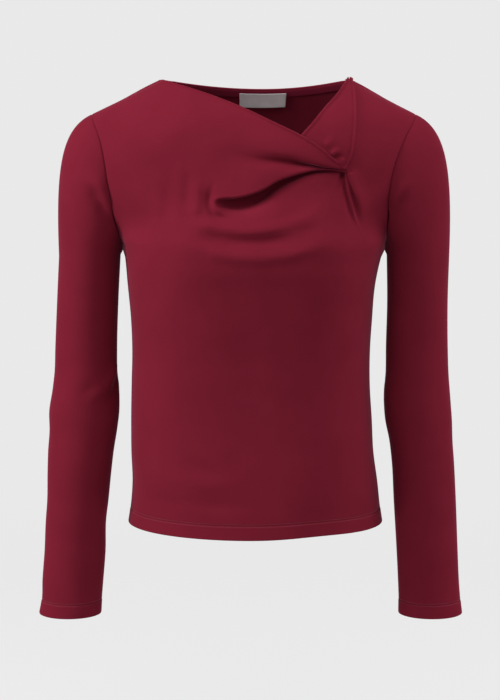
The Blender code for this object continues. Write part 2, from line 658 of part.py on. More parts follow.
def cap_rings(turn, rows, side):
    """Rings from the armhole seam to just short of the first level ring: a cubic arc at each angle."""
    start = armhole_ring(turn, side)
    end = sleeve_ring(turn, np.full(turn.shape, rows[-1].z, float), rows, side)
    span = np.linalg.norm(end - start, axis=-1, keepdims=True)
    raised = (1 - np.cos(turn)) / 2
    low, high = (np.array(row)[:, None] for row in CAP_PULLS)
    pull = CapPull(*(low + (high - low) * raised))
    leave = np.stack([side * pull.out, -pull.forward * np.sin(turn), -pull.down], axis=-1)
    leave /= np.linalg.norm(leave, axis=-1, keepdims=True)
    first = start + leave * span * pull.near[:, None]
    second = end + np.stack([side * pull.swell, 0 * turn, pull.far * span[:, 0]], axis=-1)
    t = toward(0, 1, CAP_RINGS)[:-1, None, None]
    return (1 - t) ** 3 * start + 3 * t * (1 - t) ** 2 * first + 3 * t**2 * (1 - t) * second + t**3 * end


def make_sleeve(name, side, rows, folds, material, collection):
    """One-piece sleeve: a tube from the armhole seam to the turned cuff."""
    crease_rows = len(CREASE_ROWS) - 1
    front_points = crease_rows if side < 0 else crease_rows // 2 + SLIT_ROWS
    turn = np.concatenate([armhole_turns(front_points)[:-1], math.pi + armhole_turns(BACK_ROWS)[:-1]])
    cuff = rows[0].z
    heights = np.concatenate(
        [
            toward(rows[-1].z, ELBOW_TOP_Z, UPPER_ARM_RINGS)[:-1],
            toward(ELBOW_TOP_Z, ELBOW_BOTTOM_Z, ELBOW_RINGS)[:-1],
            toward(ELBOW_BOTTOM_Z, cuff + HEM_DEPTH, FOREARM_RINGS),
            [cuff + HEM_DEPTH / 2, cuff],
        ]
    )
    arm = np.stack([sleeve_ring(turn, np.full(turn.shape, z), rows, side) for z in heights])
    grid = np.concatenate([cap_rings(turn, rows, side), arm])
    numbers = np.arange(grid[..., 0].size).reshape(-1, len(turn))
    numbers = np.concatenate([numbers, numbers[:, :1]], axis=1)
    faces = grid_faces(numbers[::-1] if side > 0 else numbers)
    points = grid.reshape(-1, 3)
    u = SLEEVE_GIRTH * turn / (2 * math.pi)
    u = np.where(u > SLEEVE_GIRTH * 0.75, u - SLEEVE_GIRTH, u)
    folded = fold_height(np.tile(u, len(grid)), points[:, 2], folds)
    points = points + normals(points, faces) * folded[:, None]
    inward = -normals(points, faces) * hem_thickness(points[:, 2], cuff)[:, None]
    at_seam = slice(0, len(turn))
    inward[at_seam] = armhole_inward(points[at_seam], side, 1) * CLOTH
    return wall(name, points, faces, inward, material, collection)


def make_material(name, colour, roughness):
    material = bpy.data.materials.new(name)
    material.use_nodes = True
    shader = material.node_tree.nodes["Principled BSDF"]
    shader.inputs["Base Color"].default_value = (*colour, 1)
    shader.inputs["Roughness"].default_value = roughness
    shader.inputs["Metallic"].default_value = 0
    return material


def make_top():
    for old in list(bpy.data.objects):
        bpy.data.objects.remove(old, do_unlink=True)
    collection = bpy.data.collections.new("twist_neck_top")
    bpy.context.scene.collection.children.link(collection)
    jersey = {
        name: make_material(name, CLOTH_COLOUR, 0.7)
        for name in ("front", "back", "neck_strap", "neck_tape", "sleeve_right", "sleeve_left")
    }
    make_front(jersey["front"], collection)
    panel = back_panel()
    make_back(panel, jersey["back"], collection)
    make_tape(panel, jersey["neck_tape"], collection)
    make_label(panel, make_material("size_label", LABEL_COLOUR, 0.6), collection)
    make_strap(jersey["neck_strap"], collection)
    sleeves = (
        ("sleeve_right", -1, RIGHT_SLEEVE, RIGHT_SLEEVE_FOLDS),
        ("sleeve_left", 1, LEFT_SLEEVE, LEFT_SLEEVE_FOLDS),
    )
    for name, side, rows, folds in sleeves:
        make_sleeve(name, side, rows, folds, jersey[name], collection)


make_top()
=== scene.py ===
"""Twist neck top in its finished cloth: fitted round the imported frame, hollow, as if worn.

The outline, the levels and the seam lines repeat part.py's values. The front's section is fuller here, its
gathers and folds go deeper, and the seams are closed, because the solids leave the carving of the cloth to
this file. A point of the torso has a share p across its panel, from -1 at the wearer's right side to 1 at
the left, and a height z. Sizes are in millimetres until a mesh is made, but the studio's are in metres.
"""

import math
from collections import namedtuple

import bpy
import numpy as np
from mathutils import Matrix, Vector


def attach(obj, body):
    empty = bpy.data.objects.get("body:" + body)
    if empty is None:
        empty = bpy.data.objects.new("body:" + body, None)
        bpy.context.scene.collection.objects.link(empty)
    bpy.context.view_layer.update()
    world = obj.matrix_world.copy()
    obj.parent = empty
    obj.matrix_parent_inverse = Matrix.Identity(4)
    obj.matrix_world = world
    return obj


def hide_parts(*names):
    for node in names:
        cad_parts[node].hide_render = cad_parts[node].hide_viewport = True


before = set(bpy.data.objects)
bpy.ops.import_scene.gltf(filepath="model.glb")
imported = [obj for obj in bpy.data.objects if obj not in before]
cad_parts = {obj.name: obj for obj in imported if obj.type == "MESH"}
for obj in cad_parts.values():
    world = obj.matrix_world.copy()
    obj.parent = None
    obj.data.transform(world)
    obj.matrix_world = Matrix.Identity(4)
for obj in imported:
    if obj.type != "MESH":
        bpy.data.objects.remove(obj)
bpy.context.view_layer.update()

MM = 0.001
CLOTH = 1.1  # one layer of jersey
SEAM_GAP = 0.02  # what is left between two sewn edges
LINING_GAP = 0.3  # between the back and what is sewn inside it
HEM_DEPTH = 16.0
HEM_CLOTH = 2.0  # the turned hem
HEM_LIFT = 2.4  # where it is drawn up on the wearer's left
HEM_LIFT_X = 78.0
HEM_LIFT_WIDTH = 48.0
HEM_LIFT_HEIGHT = 70.0
HEM_FULLER = 0.35  # how far the turned layer stands out
STITCH_DIP = 0.55  # how deep its stitches draw it in
EDGE_CLOTH = 2.1  # the neck edge, turned in
EDGE_DEPTH = 4.0
EDGE_BEAD = 1.0  # how far the turned edge stands out, 0.9 from its end
EDGE_DIP = 0.5  # and the dip beside it, 3.2 from its end
RIM_ROWS = 3

HEM_Z = -521.0
UNDERARM_Z = -188.0
SHOULDER_Z = -40.5
HIGH_SHOULDER_Z = -1.0
SHOULDER_X = (-189.0, 187.0)
HIGH_SHOULDER_X = (-106.0, 109.0)
NECK_PEAK_Z = 30.0
BACK_NECK_DROP = 11.5
BACK_NECK_LOW_X = 10.0
ARMHOLE_MIDDLE_Z = (UNDERARM_Z + SHOULDER_Z) / 2
ARMHOLE_HALF = (SHOULDER_Z - UNDERARM_Z) / 2
ARMHOLE_FRONT = 50.0
ARMHOLE_BACK = 55.0
ARMPIT_SPREAD = 14.0  # how far round the swell below the arm reaches
ARMPIT_END = 17.0  # and how far down
SIDE_DEEPENS_OVER = 90.0
HEM_ROUNDS_OVER = 110.0
SIDE_TURN = math.radians(90)
CHEST_TURN = math.radians(60)
CHEST_RISE = 40.0
SIDEWAYS_FROM = 0.58

KNOT = (102.0, -100.0)
SLIT_TOP_X = 106.5
KNOT_FADE = 6.0
FOLD_FADE = 8.0
FAN_FADE = 6.0

PANEL_SPAN = 205.0  # cloth from a panel's middle to its side
BODY_STEP = 4.5  # between rows below the underarm
CHEST_STEP = 3.0  # between columns
BAND_STEP = 2.9
LEFT_STEP = 1.5
BACK_STEP = 3.4
BACK_NECK_STEP = 3.2
BACK_CHEST_ROWS = 62
SLIT_ROWS = 46
CHEST_SPAN = 200.0  # cloth from the underarm's level to a panel's top
SLIT_SPAN = 220.0
SEAM_STEPS = (0.0, 0.45, 0.95, 1.5, 2.2, 3.2, 4.6)  # rows of points next to a seam
EDGE_STEPS = (0.0, 0.6, 1.4, 2.6)  # the same next to a turned edge
ON_SIDE = 1 - 1e-6  # share of a panel from which a point is on its side seam
FAR = 99.0  # puts what isn't a turned edge out of an edge's reach
ROUNDS = 8  # of a search for a height that depends on itself
GATHER_ROUNDS = 6
LINE_POINTS = 14  # of a fold, for each point of its line
PUFF = 2.2  # slight fullness behind the shoulder seams
SEAM_ROLL = 0.5  # how deep the cloth rolls into a seam
SEAM_REACH = 1.1
FLATTER_FRONT = 0.45  # how much flatter than an ellipse the torso is below the chest
FLATTER_BACK = 0.15
FLATTER_FROM = -150.0
FLATTER_OVER = 90.0


def table(fields, *rows):
    """A table's columns under their names."""
    return namedtuple("Table", fields)(*np.array(rows, float).T)


TORSO_LEVELS = table(
    "z right left front back",
    (-521, 150, 152, 110, 98), (-508, 148, 150, 109, 97), (-473, 145, 146, 107, 95),
    (-437, 146, 141, 104, 91), (-401, 146, 139, 102.5, 86), (-353, 145, 136, 103, 82),
    (-317, 144, 136, 105, 83), (-281, 145, 138, 109, 88), (-234, 149, 142, 115, 95),
    (-210, 151, 147, 119, 97), (-188, 154, 153, 118, 98), (-165, 160, 153, 110.5, 98),
    (-129, 167, 154, 94, 96), (-97, 171, 160, 88.5, 90), (-69, 177, 171, 82.5, 82),
    (-40, 189, 187, 70, 70), (0, 199, 199, 34, 54),
)

# The lines of the gathers, from the underarm's level up to the neck edge: x, z, and how far they stand out.
CREASE_X = (-106, -75, -60, -52, -47, -42, -37, -31, -24, -9, 9, 25, 41, 54, 67, 79, 88, 97, 102)
BAND_X = (-106, -60, -24, -9, 9, 25, 41, 54, 67, 79, 88, 97, 102)
GATHERS = (
    # the shelf below the deep crease, and its upper edge
    ((-106, -75, -60, -47, -37, -24, -9, 9, 25, 41, 54, 67, 79, 91, 102),
     (-162, -158, -156, -154, -153, -154, -154, -150, -144, -139, -135, -131, -128, -126, -124),
     (0, 0, 0, -0.8, -1.2, -1.2, -0.8, 0.4, 1.5, 2, 2, 1.6, 1, 0.4, 0)),
    (CREASE_X,
     (-150, -149, -148, -147, -145, -144.2, -145, -146.4, -147.6, -146.4, -137, -124.4, -115.3, -109.8, -106,
      -104.8, -104.5, -105, -106),
     (0, 0, 0, 0, -0.2, -0.6, -1.8, -3.8, -5.2, -6.2, -5.2, -3.2, -2.2, -1.8, -1.8, -2, -2.8, -2.4, -2)),
    # the crease's floor
    (CREASE_X,
     (-144, -143, -142, -141.6, -141, -140.6, -141, -141.8, -142.6, -140.4, -132, -120.8, -113.4, -107.8,
      -104.2, -103, -102.7, -103.6, -104.6),
     (0, 0, 0, 0, 0, -1.2, -4.6, -8.6, -12, -14.5, -14, -12.5, -11, -9.8, -8, -6.4, -5, -3.4, -2.5)),
    (CREASE_X,
     (-136, -136, -136, -135.5, -136.6, -136.6, -135.6, -135, -134.6, -131.6, -123.8, -113.8, -108.6, -105.2,
      -102.6, -101.7, -101.5, -102.6, -103.7),
     (0, 0, 0, 0, 0, -1, -4.2, -8, -11.5, -14, -13.5, -12, -11, -9.5, -7.5, -5.5, -4, -2.4, -1.5)),
    # the lip and the crest of the roll above it
    (CREASE_X,
     (-128, -128, -128.5, -129.5, -131.6, -132, -131.6, -130.8, -130.8, -128.3, -122, -112.9, -107.3, -103.8,
      -101, -100.9, -100.9, -102, -102.9),
     (0, 0, 0, 0.4, 1, 1.8, 3, 4.2, 4.8, 5.6, 5.8, 5, 3.8, 2.4, 0.8, -0.8, -1.2, -0.8, -0.6)),
    ((-106, -75, -60, -47, -37, -24, -9, 9, 25, 41, 54, 67, 79, 88, 97, 102),
     (-118, -119, -120, -122.5, -125.6, -125.8, -122.2, -116, -108.5, -104, -101.2, -99.6, -100.1, -100.3,
      -101.3, -102.2),
     (0, 0, 0.4, 2.4, 4.2, 5.6, 6.4, 6.6, 6, 4.8, 3.2, 1.4, -0.2, -0.5, -0.3, -0.2)),
    # the slope up to the upper crease, its floor, the lip over it, the neck band's crest and the neck edge
    ((-106, -60, -37, -24, -9, 9, 25, 41, 54, 67, 79, 88, 97, 102),
     (-100, -100, -99, -97, -98, -99, -98, -97.8, -97.9, -98.2, -99.4, -99.8, -100.9, -101.7),
     (0, 0, 0.6, 1.4, 2.4, 4, 3.4, 1.6, 0.2, -0.8, -1.2, -0.8, -0.4, -0.1)),
    (BAND_X,
     (-82, -82, -83, -87, -90, -91, -92.5, -94, -96.3, -98.6, -99.4, -100.6, -101.3),
     (0, 0, -0.4, -0.8, -1.6, -3, -4.5, -6, -5.6, -4, -2, -0.8, 0)),
    (BAND_X,
     (-76, -76, -76, -79.5, -84, -86, -87.8, -90.8, -94.6, -97.6, -98.9, -100.4, -101),
     (0, 0, 0.2, 0.5, 0.7, 0.8, 1.6, 2.6, 2.6, 2, 1.2, 0.4, 0.1)),
    (BAND_X,
     (-62, -63, -68, -71, -77, -80, -82.5, -85.5, -91, -95.2, -97.6, -99.9, -100.7),
     (0, 0, 1, 1.8, 2.8, 4, 5, 5.6, 5.4, 4.6, 3.4, 1.8, 0.4)),
    ((-106, -76, -34, -9, 19, 36, 54, 76, 90, 97, 102),
     (-1, -9, -23, -33, -46, -54, -63, -77, -89, -95.5, -100),
     (0, 0, 0.4, 1, 2, 3.2, 4.6, 4.8, 4.6, 2.6, 0.6)),
)
GATHER_ROWS = (9, 6, 6, 5, 7, 6, 7, 6, 5, 6, 24)  # rows of points between one line and the next

# A fold: points (x, z) of its line, its height, how far it spreads to the left and right of the way it runs,
# and the shares of its length over which it grows and fades.
Fold = namedtuple("Fold", "line height left right start end")
FRONT_FOLDS = (
    # round the end of the deep crease
    Fold(((-60, -98), (-62.5, -113), (-64.3, -125), (-64.7, -134), (-65.3, -142.5), (-67.5, -150),
          (-72.5, -157)), 3.0, 5.0, 8.0, 0.45, 0.35),
    Fold(((-43.5, -110), (-46.5, -117), (-49, -124), (-50.4, -131), (-50.8, -138), (-49.6, -144.5),
          (-45.6, -150), (-38.6, -153), (-31, -154.5), (-20, -155)), -3.2, 3.0, 3.8, 0.35, 0.25),
    Fold(((-35, -129), (-40.6, -130.6), (-44, -133.6), (-45.4, -137.6), (-44, -142), (-39.6, -145.8),
          (-33, -148.4)), 2.2, 2.2, 2.4, 0.4, 0.35),
    # two soft ridges over the bust and the trough between them
    Fold(((-74, -161), (-56, -162), (-46.7, -164), (-24, -167.5), (-9, -168.5), (9, -167.5), (25, -165),
          (40.5, -161.5), (56, -157), (72, -151), (90, -146)), 3.9, 6.5, 4.0, 0.15, 0.25),
    Fold(((-74, -172), (-46.7, -176), (-24, -178.5), (9, -178), (25, -176.5), (40.5, -175), (60, -172)),
         -3.8, 4.4, 5.6, 0.2, 0.45),
    Fold(((-88, -185), (-56, -191), (-46.7, -193), (-24, -196.5), (-5, -197.8), (9, -197.5), (25, -196),
          (40, -194), (54, -190), (73, -184), (94, -176)), 3.7, 7.0, 6.0, 0.25, 0.25),
    # the fullness of the chest on each side
    Fold(((82, -118), (80, -150), (80, -180), (80, -212)), 5.0, 30.0, 22.0, 0.4, 0.4),
    Fold(((-82, -130), (-80, -160), (-80, -185), (-80, -215)), 3.0, 26.0, 30.0, 0.4, 0.4),
    # soft drapes over the hip and along the hem
    Fold(((-126, -385), (-125, -430), (-122, -466)), -1.0, 6.0, 5.0, 0.4, 0.4),
    Fold(((-111, -385), (-111, -430), (-107, -468)), 0.8, 8.0, 6.0, 0.4, 0.4),
    Fold(((-86, -425), (-62, -440), (-34, -456)), -1.3, 8.0, 8.0, 0.4, 0.5),
    Fold(((-124, -448), (-96, -455), (-64, -459), (-30, -456), (4, -449)), 1.7, 10.0, 9.0, 0.35, 0.45),
    Fold(((-132, -476), (-96, -480), (-60, -482), (-10, -483), (45, -482)), -1.5, 8.0, 7.0, 0.3, 0.5),
    # drapes on the wearer's right
    Fold(((-109, -90), (-110, -134), (-111, -162), (-113, -200)), 0.8, 7.0, 8.0, 0.4, 0.4),
    Fold(((-97, -92), (-98.7, -123), (-99.7, -145), (-100.7, -172)), -0.5, 5.0, 5.0, 0.4, 0.4),
    Fold(((-83, -84), (-85, -117), (-86, -139), (-89.4, -161), (-95, -180)), 0.9, 6.0, 6.5, 0.35, 0.35),
    Fold(((-75, -86), (-75.5, -120), (-77, -150)), -0.6, 4.5, 5.0, 0.4, 0.4),
)
FAN_FOLDS = (
    # the fan below the knot
    Fold(((98.9, -103.4), (98.4, -107), (97.2, -114), (94.6, -130)), -6.0, 2.0, 2.6, 0.08, 0.75),
    Fold(((100.3, -104), (101, -112), (102.3, -123.7), (104.6, -133.7), (107.2, -148), (108.4, -163)),
         -3.4, 1.6, 2.2, 0.08, 0.45),
    Fold(((101.2, -103.6), (105.1, -117.7), (108.1, -131.7), (111.4, -146.3), (115.1, -161.5), (117, -180)),
         3.0, 1.5, 1.6, 0.08, 0.45),
    Fold(((103, -105), (105.2, -111.6), (108.2, -121.7), (111.4, -133), (113.9, -144.2), (116.7, -158.6),
          (118.5, -172)), -3.2, 2.0, 1.8, 0.08, 0.5),
    Fold(((103.6, -103), (107.3, -111.7), (111.4, -121.8), (116.6, -132), (120.8, -144.3), (123.2, -159),
          (125.5, -190)), 3.8, 9.0, 2.8, 0.08, 0.5),
)
BACK_FOLDS = (
    Fold(((-120, -300), (-62, -316), (10, -318)), 3.5, 14.0, 10.0, 0.3, 0.5),
    Fold(((-128, -332), (-64, -344), (0, -344)), -3.0, 12.0, 14.0, 0.3, 0.5),
    Fold(((118, -318), (58, -330), (-4, -330)), 3.0, 9.0, 12.0, 0.3, 0.5),
    Fold(((120, -352), (68, -362), (10, -362)), -3.0, 12.0, 11.0, 0.3, 0.5),
    Fold(((-150, -150), (-118, -176), (-92, -220)), 1.8, 9.0, 12.0, 0.3, 0.5),
    Fold(((150, -150), (118, -178), (96, -224)), 1.8, 12.0, 9.0, 0.3, 0.5),
)

SLEEVE = "z outer inner front back"
RIGHT_SLEEVE = table(
    SLEEVE,
    (-634, 258, 184, 33, 31), (-618, 255, 183, 33, 31), (-595, 254, 181, 34, 31), (-559, 251, 178, 35, 32),
    (-522, 249, 177, 37, 33), (-498, 247, 174, 38, 34), (-461, 246, 170, 40, 36), (-437, 245, 167, 41, 37),
    (-413, 243, 163, 41, 38), (-389, 243, 160, 41, 39), (-365, 239, 160, 40, 40), (-341, 236, 162, 39, 41),
    (-317, 235, 162, 39, 42), (-258, 232, 160, 42, 43), (-205, 229, 157, 45, 46),
)
LEFT_SLEEVE = table(
    SLEEVE,
    (-634, 249, 173, 33, 31), (-618, 247, 173, 33, 31), (-595, 245, 172, 34, 31), (-559, 243, 170, 35, 32),
    (-498, 240, 166, 38, 34), (-449, 237, 163, 40, 36), (-425, 235, 160, 41, 37), (-401, 234, 155, 41, 38),
    (-377, 232, 153, 41, 39), (-341, 229, 155, 40, 40), (-317, 228, 155, 39, 41), (-258, 227, 156, 42, 43),
    (-205, 228, 155, 45, 46),
)
SLEEVE_GIRTH = 240.0
SLEEVE_SIDES = 96
SLEEVE_STEP = 2.9
SLEEVE_SEAM = 0.6  # how deep its own seam lies
CAP_SPAN = 110.0  # cloth of the cap, from the armhole to the first level ring
RIGHT_SLEEVE_FOLDS = (
    # over (u, z), with u the distance round the arm: forward from its inner side, or back if negative
    Fold(((1, -327), (10, -336), (19, -345), (31, -357), (46, -368), (60, -382)), 2.8, 9.0, 3.8, 0.3, 0.55),
    Fold(((6, -350), (20, -365), (40, -386)), -2.2, 6.0, 9.0, 0.3, 0.5),
    Fold(((42, -348), (55, -359), (70, -368)), -1.0, 7.0, 6.0, 0.4, 0.5),
    Fold(((-8, -346), (-24, -369), (-50, -394)), 2.2, 7.0, 9.0, 0.35, 0.6),
    Fold(((-8, -368), (-24, -389), (-48, -414)), -2.2, 8.0, 7.0, 0.35, 0.6),
)
LEFT_SLEEVE_FOLDS = (
    Fold(((8, -364), (26, -384), (48, -402)), 0.6, 9.0, 7.0, 0.4, 0.6),
    Fold(((-8, -350), (-24, -374), (-50, -398)), 2.0, 7.0, 9.0, 0.35, 0.6),
    Fold(((-8, -372), (-24, -392), (-48, -416)), -2.0, 8.0, 7.0, 0.35, 0.6),
)
ARMPIT_PULLS = {
    # where the front of each cap is pulled from the underarm: the same folds over (x, z)
    -1: (
        Fold(((-196, -110), (-186.4, -115.5), (-177.3, -122.4), (-170.5, -133.8), (-164.9, -146.5),
              (-160, -160)), 3.0, 9.0, 5.0, 0.45, 0.4),
        Fold(((-203, -116), (-188.8, -124.5), (-181.5, -132.4), (-174.6, -143), (-168.6, -154), (-160, -172)),
             -4.2, 6.0, 9.0, 0.4, 0.35),
    ),
    1: (
        Fold(((154.5, -160), (158.8, -141.7), (163.3, -131.4), (169, -123.4), (175.8, -117.4), (187, -110)),
             2.6, 5.0, 4.0, 0.3, 0.5),
        Fold(((152, -170), (156.6, -152.5), (161.6, -144.4), (166.4, -137.5), (172.3, -130.4), (181, -123)),
             -3.6, 4.0, 8.0, 0.25, 0.5),
    ),
}
CapPull = namedtuple("CapPull", "out forward down near far swell")
CAP_PULLS = (CapPull(0.25, 0.22, 0.95, 0.23, 0.28, 0.0), CapPull(0.95, 0.22, 0.43, 0.23, 0.62, 3.0))

STRAP_ROWS = table(
    "inner_x inner_z outer_x outer_z",
    (106, -0.6, 111.5, -2.2), (93, -18.5, 114.6, -20), (79, -33, 114.4, -42), (66, -48, 112.6, -64),
    (55, -60, 109.3, -84), (46, -71, 101.6, -99.6),
)
STRAP_SAG = 4.0
STRAP_LIFT = 2.6
STRAP_EDGE = 2.0  # wall of its turned edges
STRAP_STEP = 0.045
STRAP_COLUMNS = 43
STRAP_FOLDS = (
    Fold(((78, -76), (84, -70), (92, -60)), 1.4, 4.0, 4.0, 0.3, 0.6),
    Fold(((84, -86), (90, -81), (97, -78)), 2.2, 3.0, 2.2, 0.2, 0.5),
    Fold(((87, -90), (91.5, -86.5), (99, -83.5)), -2.4, 2.0, 1.8, 0.2, 0.5),
    Fold(((93, -96), (97, -91), (101, -88)), 1.8, 2.2, 2.2, 0.2, 0.4),
)

TAPE_TOP = 0.8
TAPE_WIDTH = 8.0
TAPE_END = 4.0
TAPE_CLOTH = 0.8
LABEL_X = (-17.5, 38.0)
LABEL_TOP = 4.0
LABEL_HEIGHT = 16.0
LABEL_CLOTH = 0.6
LINING_STEPS = (0.8, 1.3)  # up and along

STITCH_LENGTH = 2.3
STITCH_THICKNESS = 0.42
STITCH_PITCH = 3.0
STITCH_ROWS = (-1.4, 1.4)  # the twin rows' places over and under the turned edge's stitch line
STITCH_OUT = 0.05
HEM_POINTS = 400
CUFF_POINTS = 180


def hermite(t, span, start, start_slope, end, end_slope):
    """Cubic over a span, t from 0 to 1: (2t^3 - 3t^2 + 1) start + (t^3 - 2t^2 + t) span start_slope
    + (3t^2 - 2t^3) end + (t^3 - t^2) span end_slope."""
    return (
        (2 * t**3 - 3 * t**2 + 1) * start
        + (t**3 - 2 * t**2 + t) * span * start_slope
        + (3 * t**2 - 2 * t**3) * end
        + (t**3 - t**2) * span * end_slope
    )


def smooth(at, table_at, values):
    """A cubic curve through a table's values, with slopes taken from their neighbours."""
    table_at, values = np.asarray(table_at, float), np.asarray(values, float)
    slopes = np.gradient(values, table_at)
    at = np.clip(at, table_at[0], table_at[-1])
    i = np.clip(np.searchsorted(table_at, at, side="right") - 1, 0, len(table_at) - 2)
    span = table_at[i + 1] - table_at[i]
    return hermite((at - table_at[i]) / span, span, values[i], slopes[i], values[i + 1], slopes[i + 1])


def level(z, name, rows=TORSO_LEVELS):
    """One column of a table of levels at any height."""
    return smooth(z, rows.z, getattr(rows, name))


def ease(t):
    """From 0 to 1 with no slope at either end: 3t^2 - 2t^3."""
    t = np.clip(t, 0, 1)
    return t * t * (3 - 2 * t)


def bell(t):
    """A bump of height 1 round t = 0: exp(-t^2)."""
    return np.exp(-(t**2))


def section(z):
    """Middle and half width of the torso at height z, and the turn from a panel's middle to its side."""
    right, left = level(z, "right"), level(z, "left")
    turn = SIDE_TURN + (CHEST_TURN - SIDE_TURN) * ease((z - UNDERARM_Z) / CHEST_RISE)
    return (left - right) / 2, (left + right) / 2, turn


def across(p, z):
    """x of the share p of a panel at height z: middle + half sin(turn p) / sin(turn)."""
    middle, half, turn = section(z)
    return middle + half * np.sin(turn * p) / np.sin(turn)


def share_at(x, z):
    """The share p of a panel that has this x at height z."""
    middle, half, turn = section(z)
    return np.arcsin((x - middle) / half * np.sin(turn)) / turn


def ridge_height(x):
    """Height of the shoulder line, which goes on over the open neck as a low arch."""
    right, left = HIGH_SHOULDER_X
    arch = NECK_PEAK_Z + (HIGH_SHOULDER_Z - NECK_PEAK_Z) * (x / np.where(x < 0, right, left)) ** 2
    heights = (SHOULDER_Z, HIGH_SHOULDER_Z, HIGH_SHOULDER_Z, SHOULDER_Z)
    line = np.interp(x, (SHOULDER_X[0], right, left, SHOULDER_X[1]), heights)
    return np.where((x > right) & (x < left), arch, line)


def ridge_of(p):
    """Height at which the share p reaches the shoulder line."""
    z = np.full(np.shape(p), (SHOULDER_Z + HIGH_SHOULDER_Z) / 2)
    for _ in range(ROUNDS):
        z = ridge_height(across(p, z))
    return z


def torso(p, z, face):
    """Points of the torso's form: face is -1 for the front and 1 for the back.

    A section's depth falls from its middle to its edge as 1 - (1 - crown)^n, where crown is the arc of an
    ellipse. n is 1 on the chest and grows below it, where the cloth lies flatter in front of the wearer.
    """
    depth = level(z, "front" if face < 0 else "back")
    edge = ARMHOLE_FRONT if face < 0 else ARMHOLE_BACK
    below = np.clip((ARMHOLE_MIDDLE_Z - z) / ARMHOLE_HALF, 0, 1)
    at_seam = np.abs(p) ** 8
    in_panel = ease((z - UNDERARM_Z + 24) / SIDE_DEEPENS_OVER)
    edge = edge * (np.sqrt(1 - below**2) * at_seam + in_panel * (1 - at_seam))
    turn = section(z)[2]
    crown = np.clip((np.cos(turn * p) - np.cos(turn)) / (1 - np.cos(turn)), 0, 1)
    flatter = FLATTER_FRONT if face < 0 else FLATTER_BACK
    flatter = flatter * ease((FLATTER_FROM - z) / FLATTER_OVER) * ease((z - HEM_Z + 10) / HEM_ROUNDS_OVER)
    crown = 1 - (1 - crown) ** (1 + flatter)
    arch = np.sqrt(1 - np.clip(1 - (ridge_of(p) - z) / ARMHOLE_HALF, 0, 1) ** 2)
    y = face * ((edge + (depth - edge) * crown) * arch + SEAM_GAP / 2)
    return np.stack([across(p, z), y, z], axis=-1)


def fold_height(u, v, folds):
    """Sum of the folds at points (u, v). A fold's cross-section is a bell with its own width on each side."""
    total = np.zeros(np.shape(u))
    for fold in folds:
        knots = np.array(fold.line, float)
        t = np.linspace(0, 1, LINE_POINTS * len(knots))
        line = [smooth(t * (len(knots) - 1), range(len(knots)), knots[:, i]) for i in (0, 1)]
        reach = 3 * max(fold.left, fold.right)
        near = (u > line[0].min() - reach) & (u < line[0].max() + reach)
        near &= (v > line[1].min() - reach) & (v < line[1].max() + reach)
        away_u, away_v = u[near][:, None] - line[0], v[near][:, None] - line[1]
        at = np.argmin(away_u**2 + away_v**2, axis=1)
        away_u, away_v = (np.take_along_axis(away, at[:, None], 1)[:, 0] for away in (away_u, away_v))
        side = np.gradient(line[0])[at] * away_v - np.gradient(line[1])[at] * away_u
        shape = bell(np.hypot(away_u, away_v) / np.where(side > 0, fold.left, fold.right))
        total[near] += fold.height * shape * ease(t[at] / fold.start) * ease((1 - t[at]) / fold.end)
    return total


def gathers(x, rows):
    """Heights and depths of the gathers' sections at x, on rows that count from line to line.

    Each upright section is a centripetal Catmull-Rom curve through its lines, so that a lip can hang over
    the crease below it.
    """
    x = np.clip(x, GATHERS[0][0][0], KNOT[0])
    z = np.stack([np.full(x.shape, UNDERARM_Z), *(smooth(x, line[0], line[1]) for line in GATHERS)], axis=-1)
    depth = np.stack([np.zeros(x.shape), *(smooth(x, line[0], line[2]) for line in GATHERS)], axis=-1)
    points = np.stack([z, depth], axis=-1)
    steps = np.diff(points, axis=-2)
    length = np.sqrt(np.linalg.norm(steps, axis=-1, keepdims=True)) + 0.05
    slope = steps / length
    low, high = length[..., :-1, :], length[..., 1:, :]
    inner = (slope[..., :-1, :] * high + slope[..., 1:, :] * low) / (low + high)
    slopes = np.concatenate([slope[..., :1, :] * (1, 0), inner, slope[..., -1:, :]], axis=-2)
    i = np.broadcast_to(np.minimum(rows.astype(int), len(GATHERS) - 1), x.shape)
    t = np.broadcast_to(rows, x.shape)[..., None] - i[..., None]
    parts = ((length, i), (points, i), (slopes, i), (points, i + 1), (slopes, i + 1))
    parts = (np.take_along_axis(values, at[..., None, None], axis=-2)[..., 0, :] for values, at in parts)
    made = hermite(t, *parts)
    return made[..., 0], made[..., 1]


def grid_faces(numbers):
    """Four-sided faces over a grid of vertex numbers, rows upwards and columns to the right."""
    a, b, c, d = numbers[:-1, :-1], numbers[:-1, 1:], numbers[1:, 1:], numbers[1:, :-1]
    return np.stack([a, b, c, d], axis=-1).reshape(-1, 4)


def ring_numbers(rings, sides):
    """Vertex numbers of closed rings, the first of each repeated at its end."""
    numbers = np.arange(rings * sides).reshape(rings, sides)
    return np.concatenate([numbers, numbers[:, :1]], axis=1)


def unit(vectors):
    """The same directions with length 1."""
    return vectors / np.maximum(np.linalg.norm(vectors, axis=-1, keepdims=True), 1e-9)


def normals(points, faces):
    """Unit vertex normals of four-sided faces, in the layout of the points."""
    flat = points.reshape(-1, 3)
    corners = flat[faces]
    face_normal = np.cross(corners[:, 2] - corners[:, 0], corners[:, 3] - corners[:, 1])
    total = np.zeros(flat.shape)
    for i in range(4):
        np.add.at(total, faces[:, i], face_normal)
    return unit(total).reshape(points.shape)


def rim_edges(faces):
    """Directed edges that only one face has."""
    edges = np.concatenate([faces[:, [i, (i + 1) % 4]] for i in range(4)])
    edges = edges[edges[:, 0] != edges[:, 1]]
    _, index, count = np.unique(np.sort(edges, axis=1), axis=0, return_inverse=True, return_counts=True)
    return edges[count[index.reshape(-1)] == 1]


def link_object(name, data):
    made = bpy.data.objects.new(name, data)
    bpy.context.scene.collection.objects.link(made)
    return made


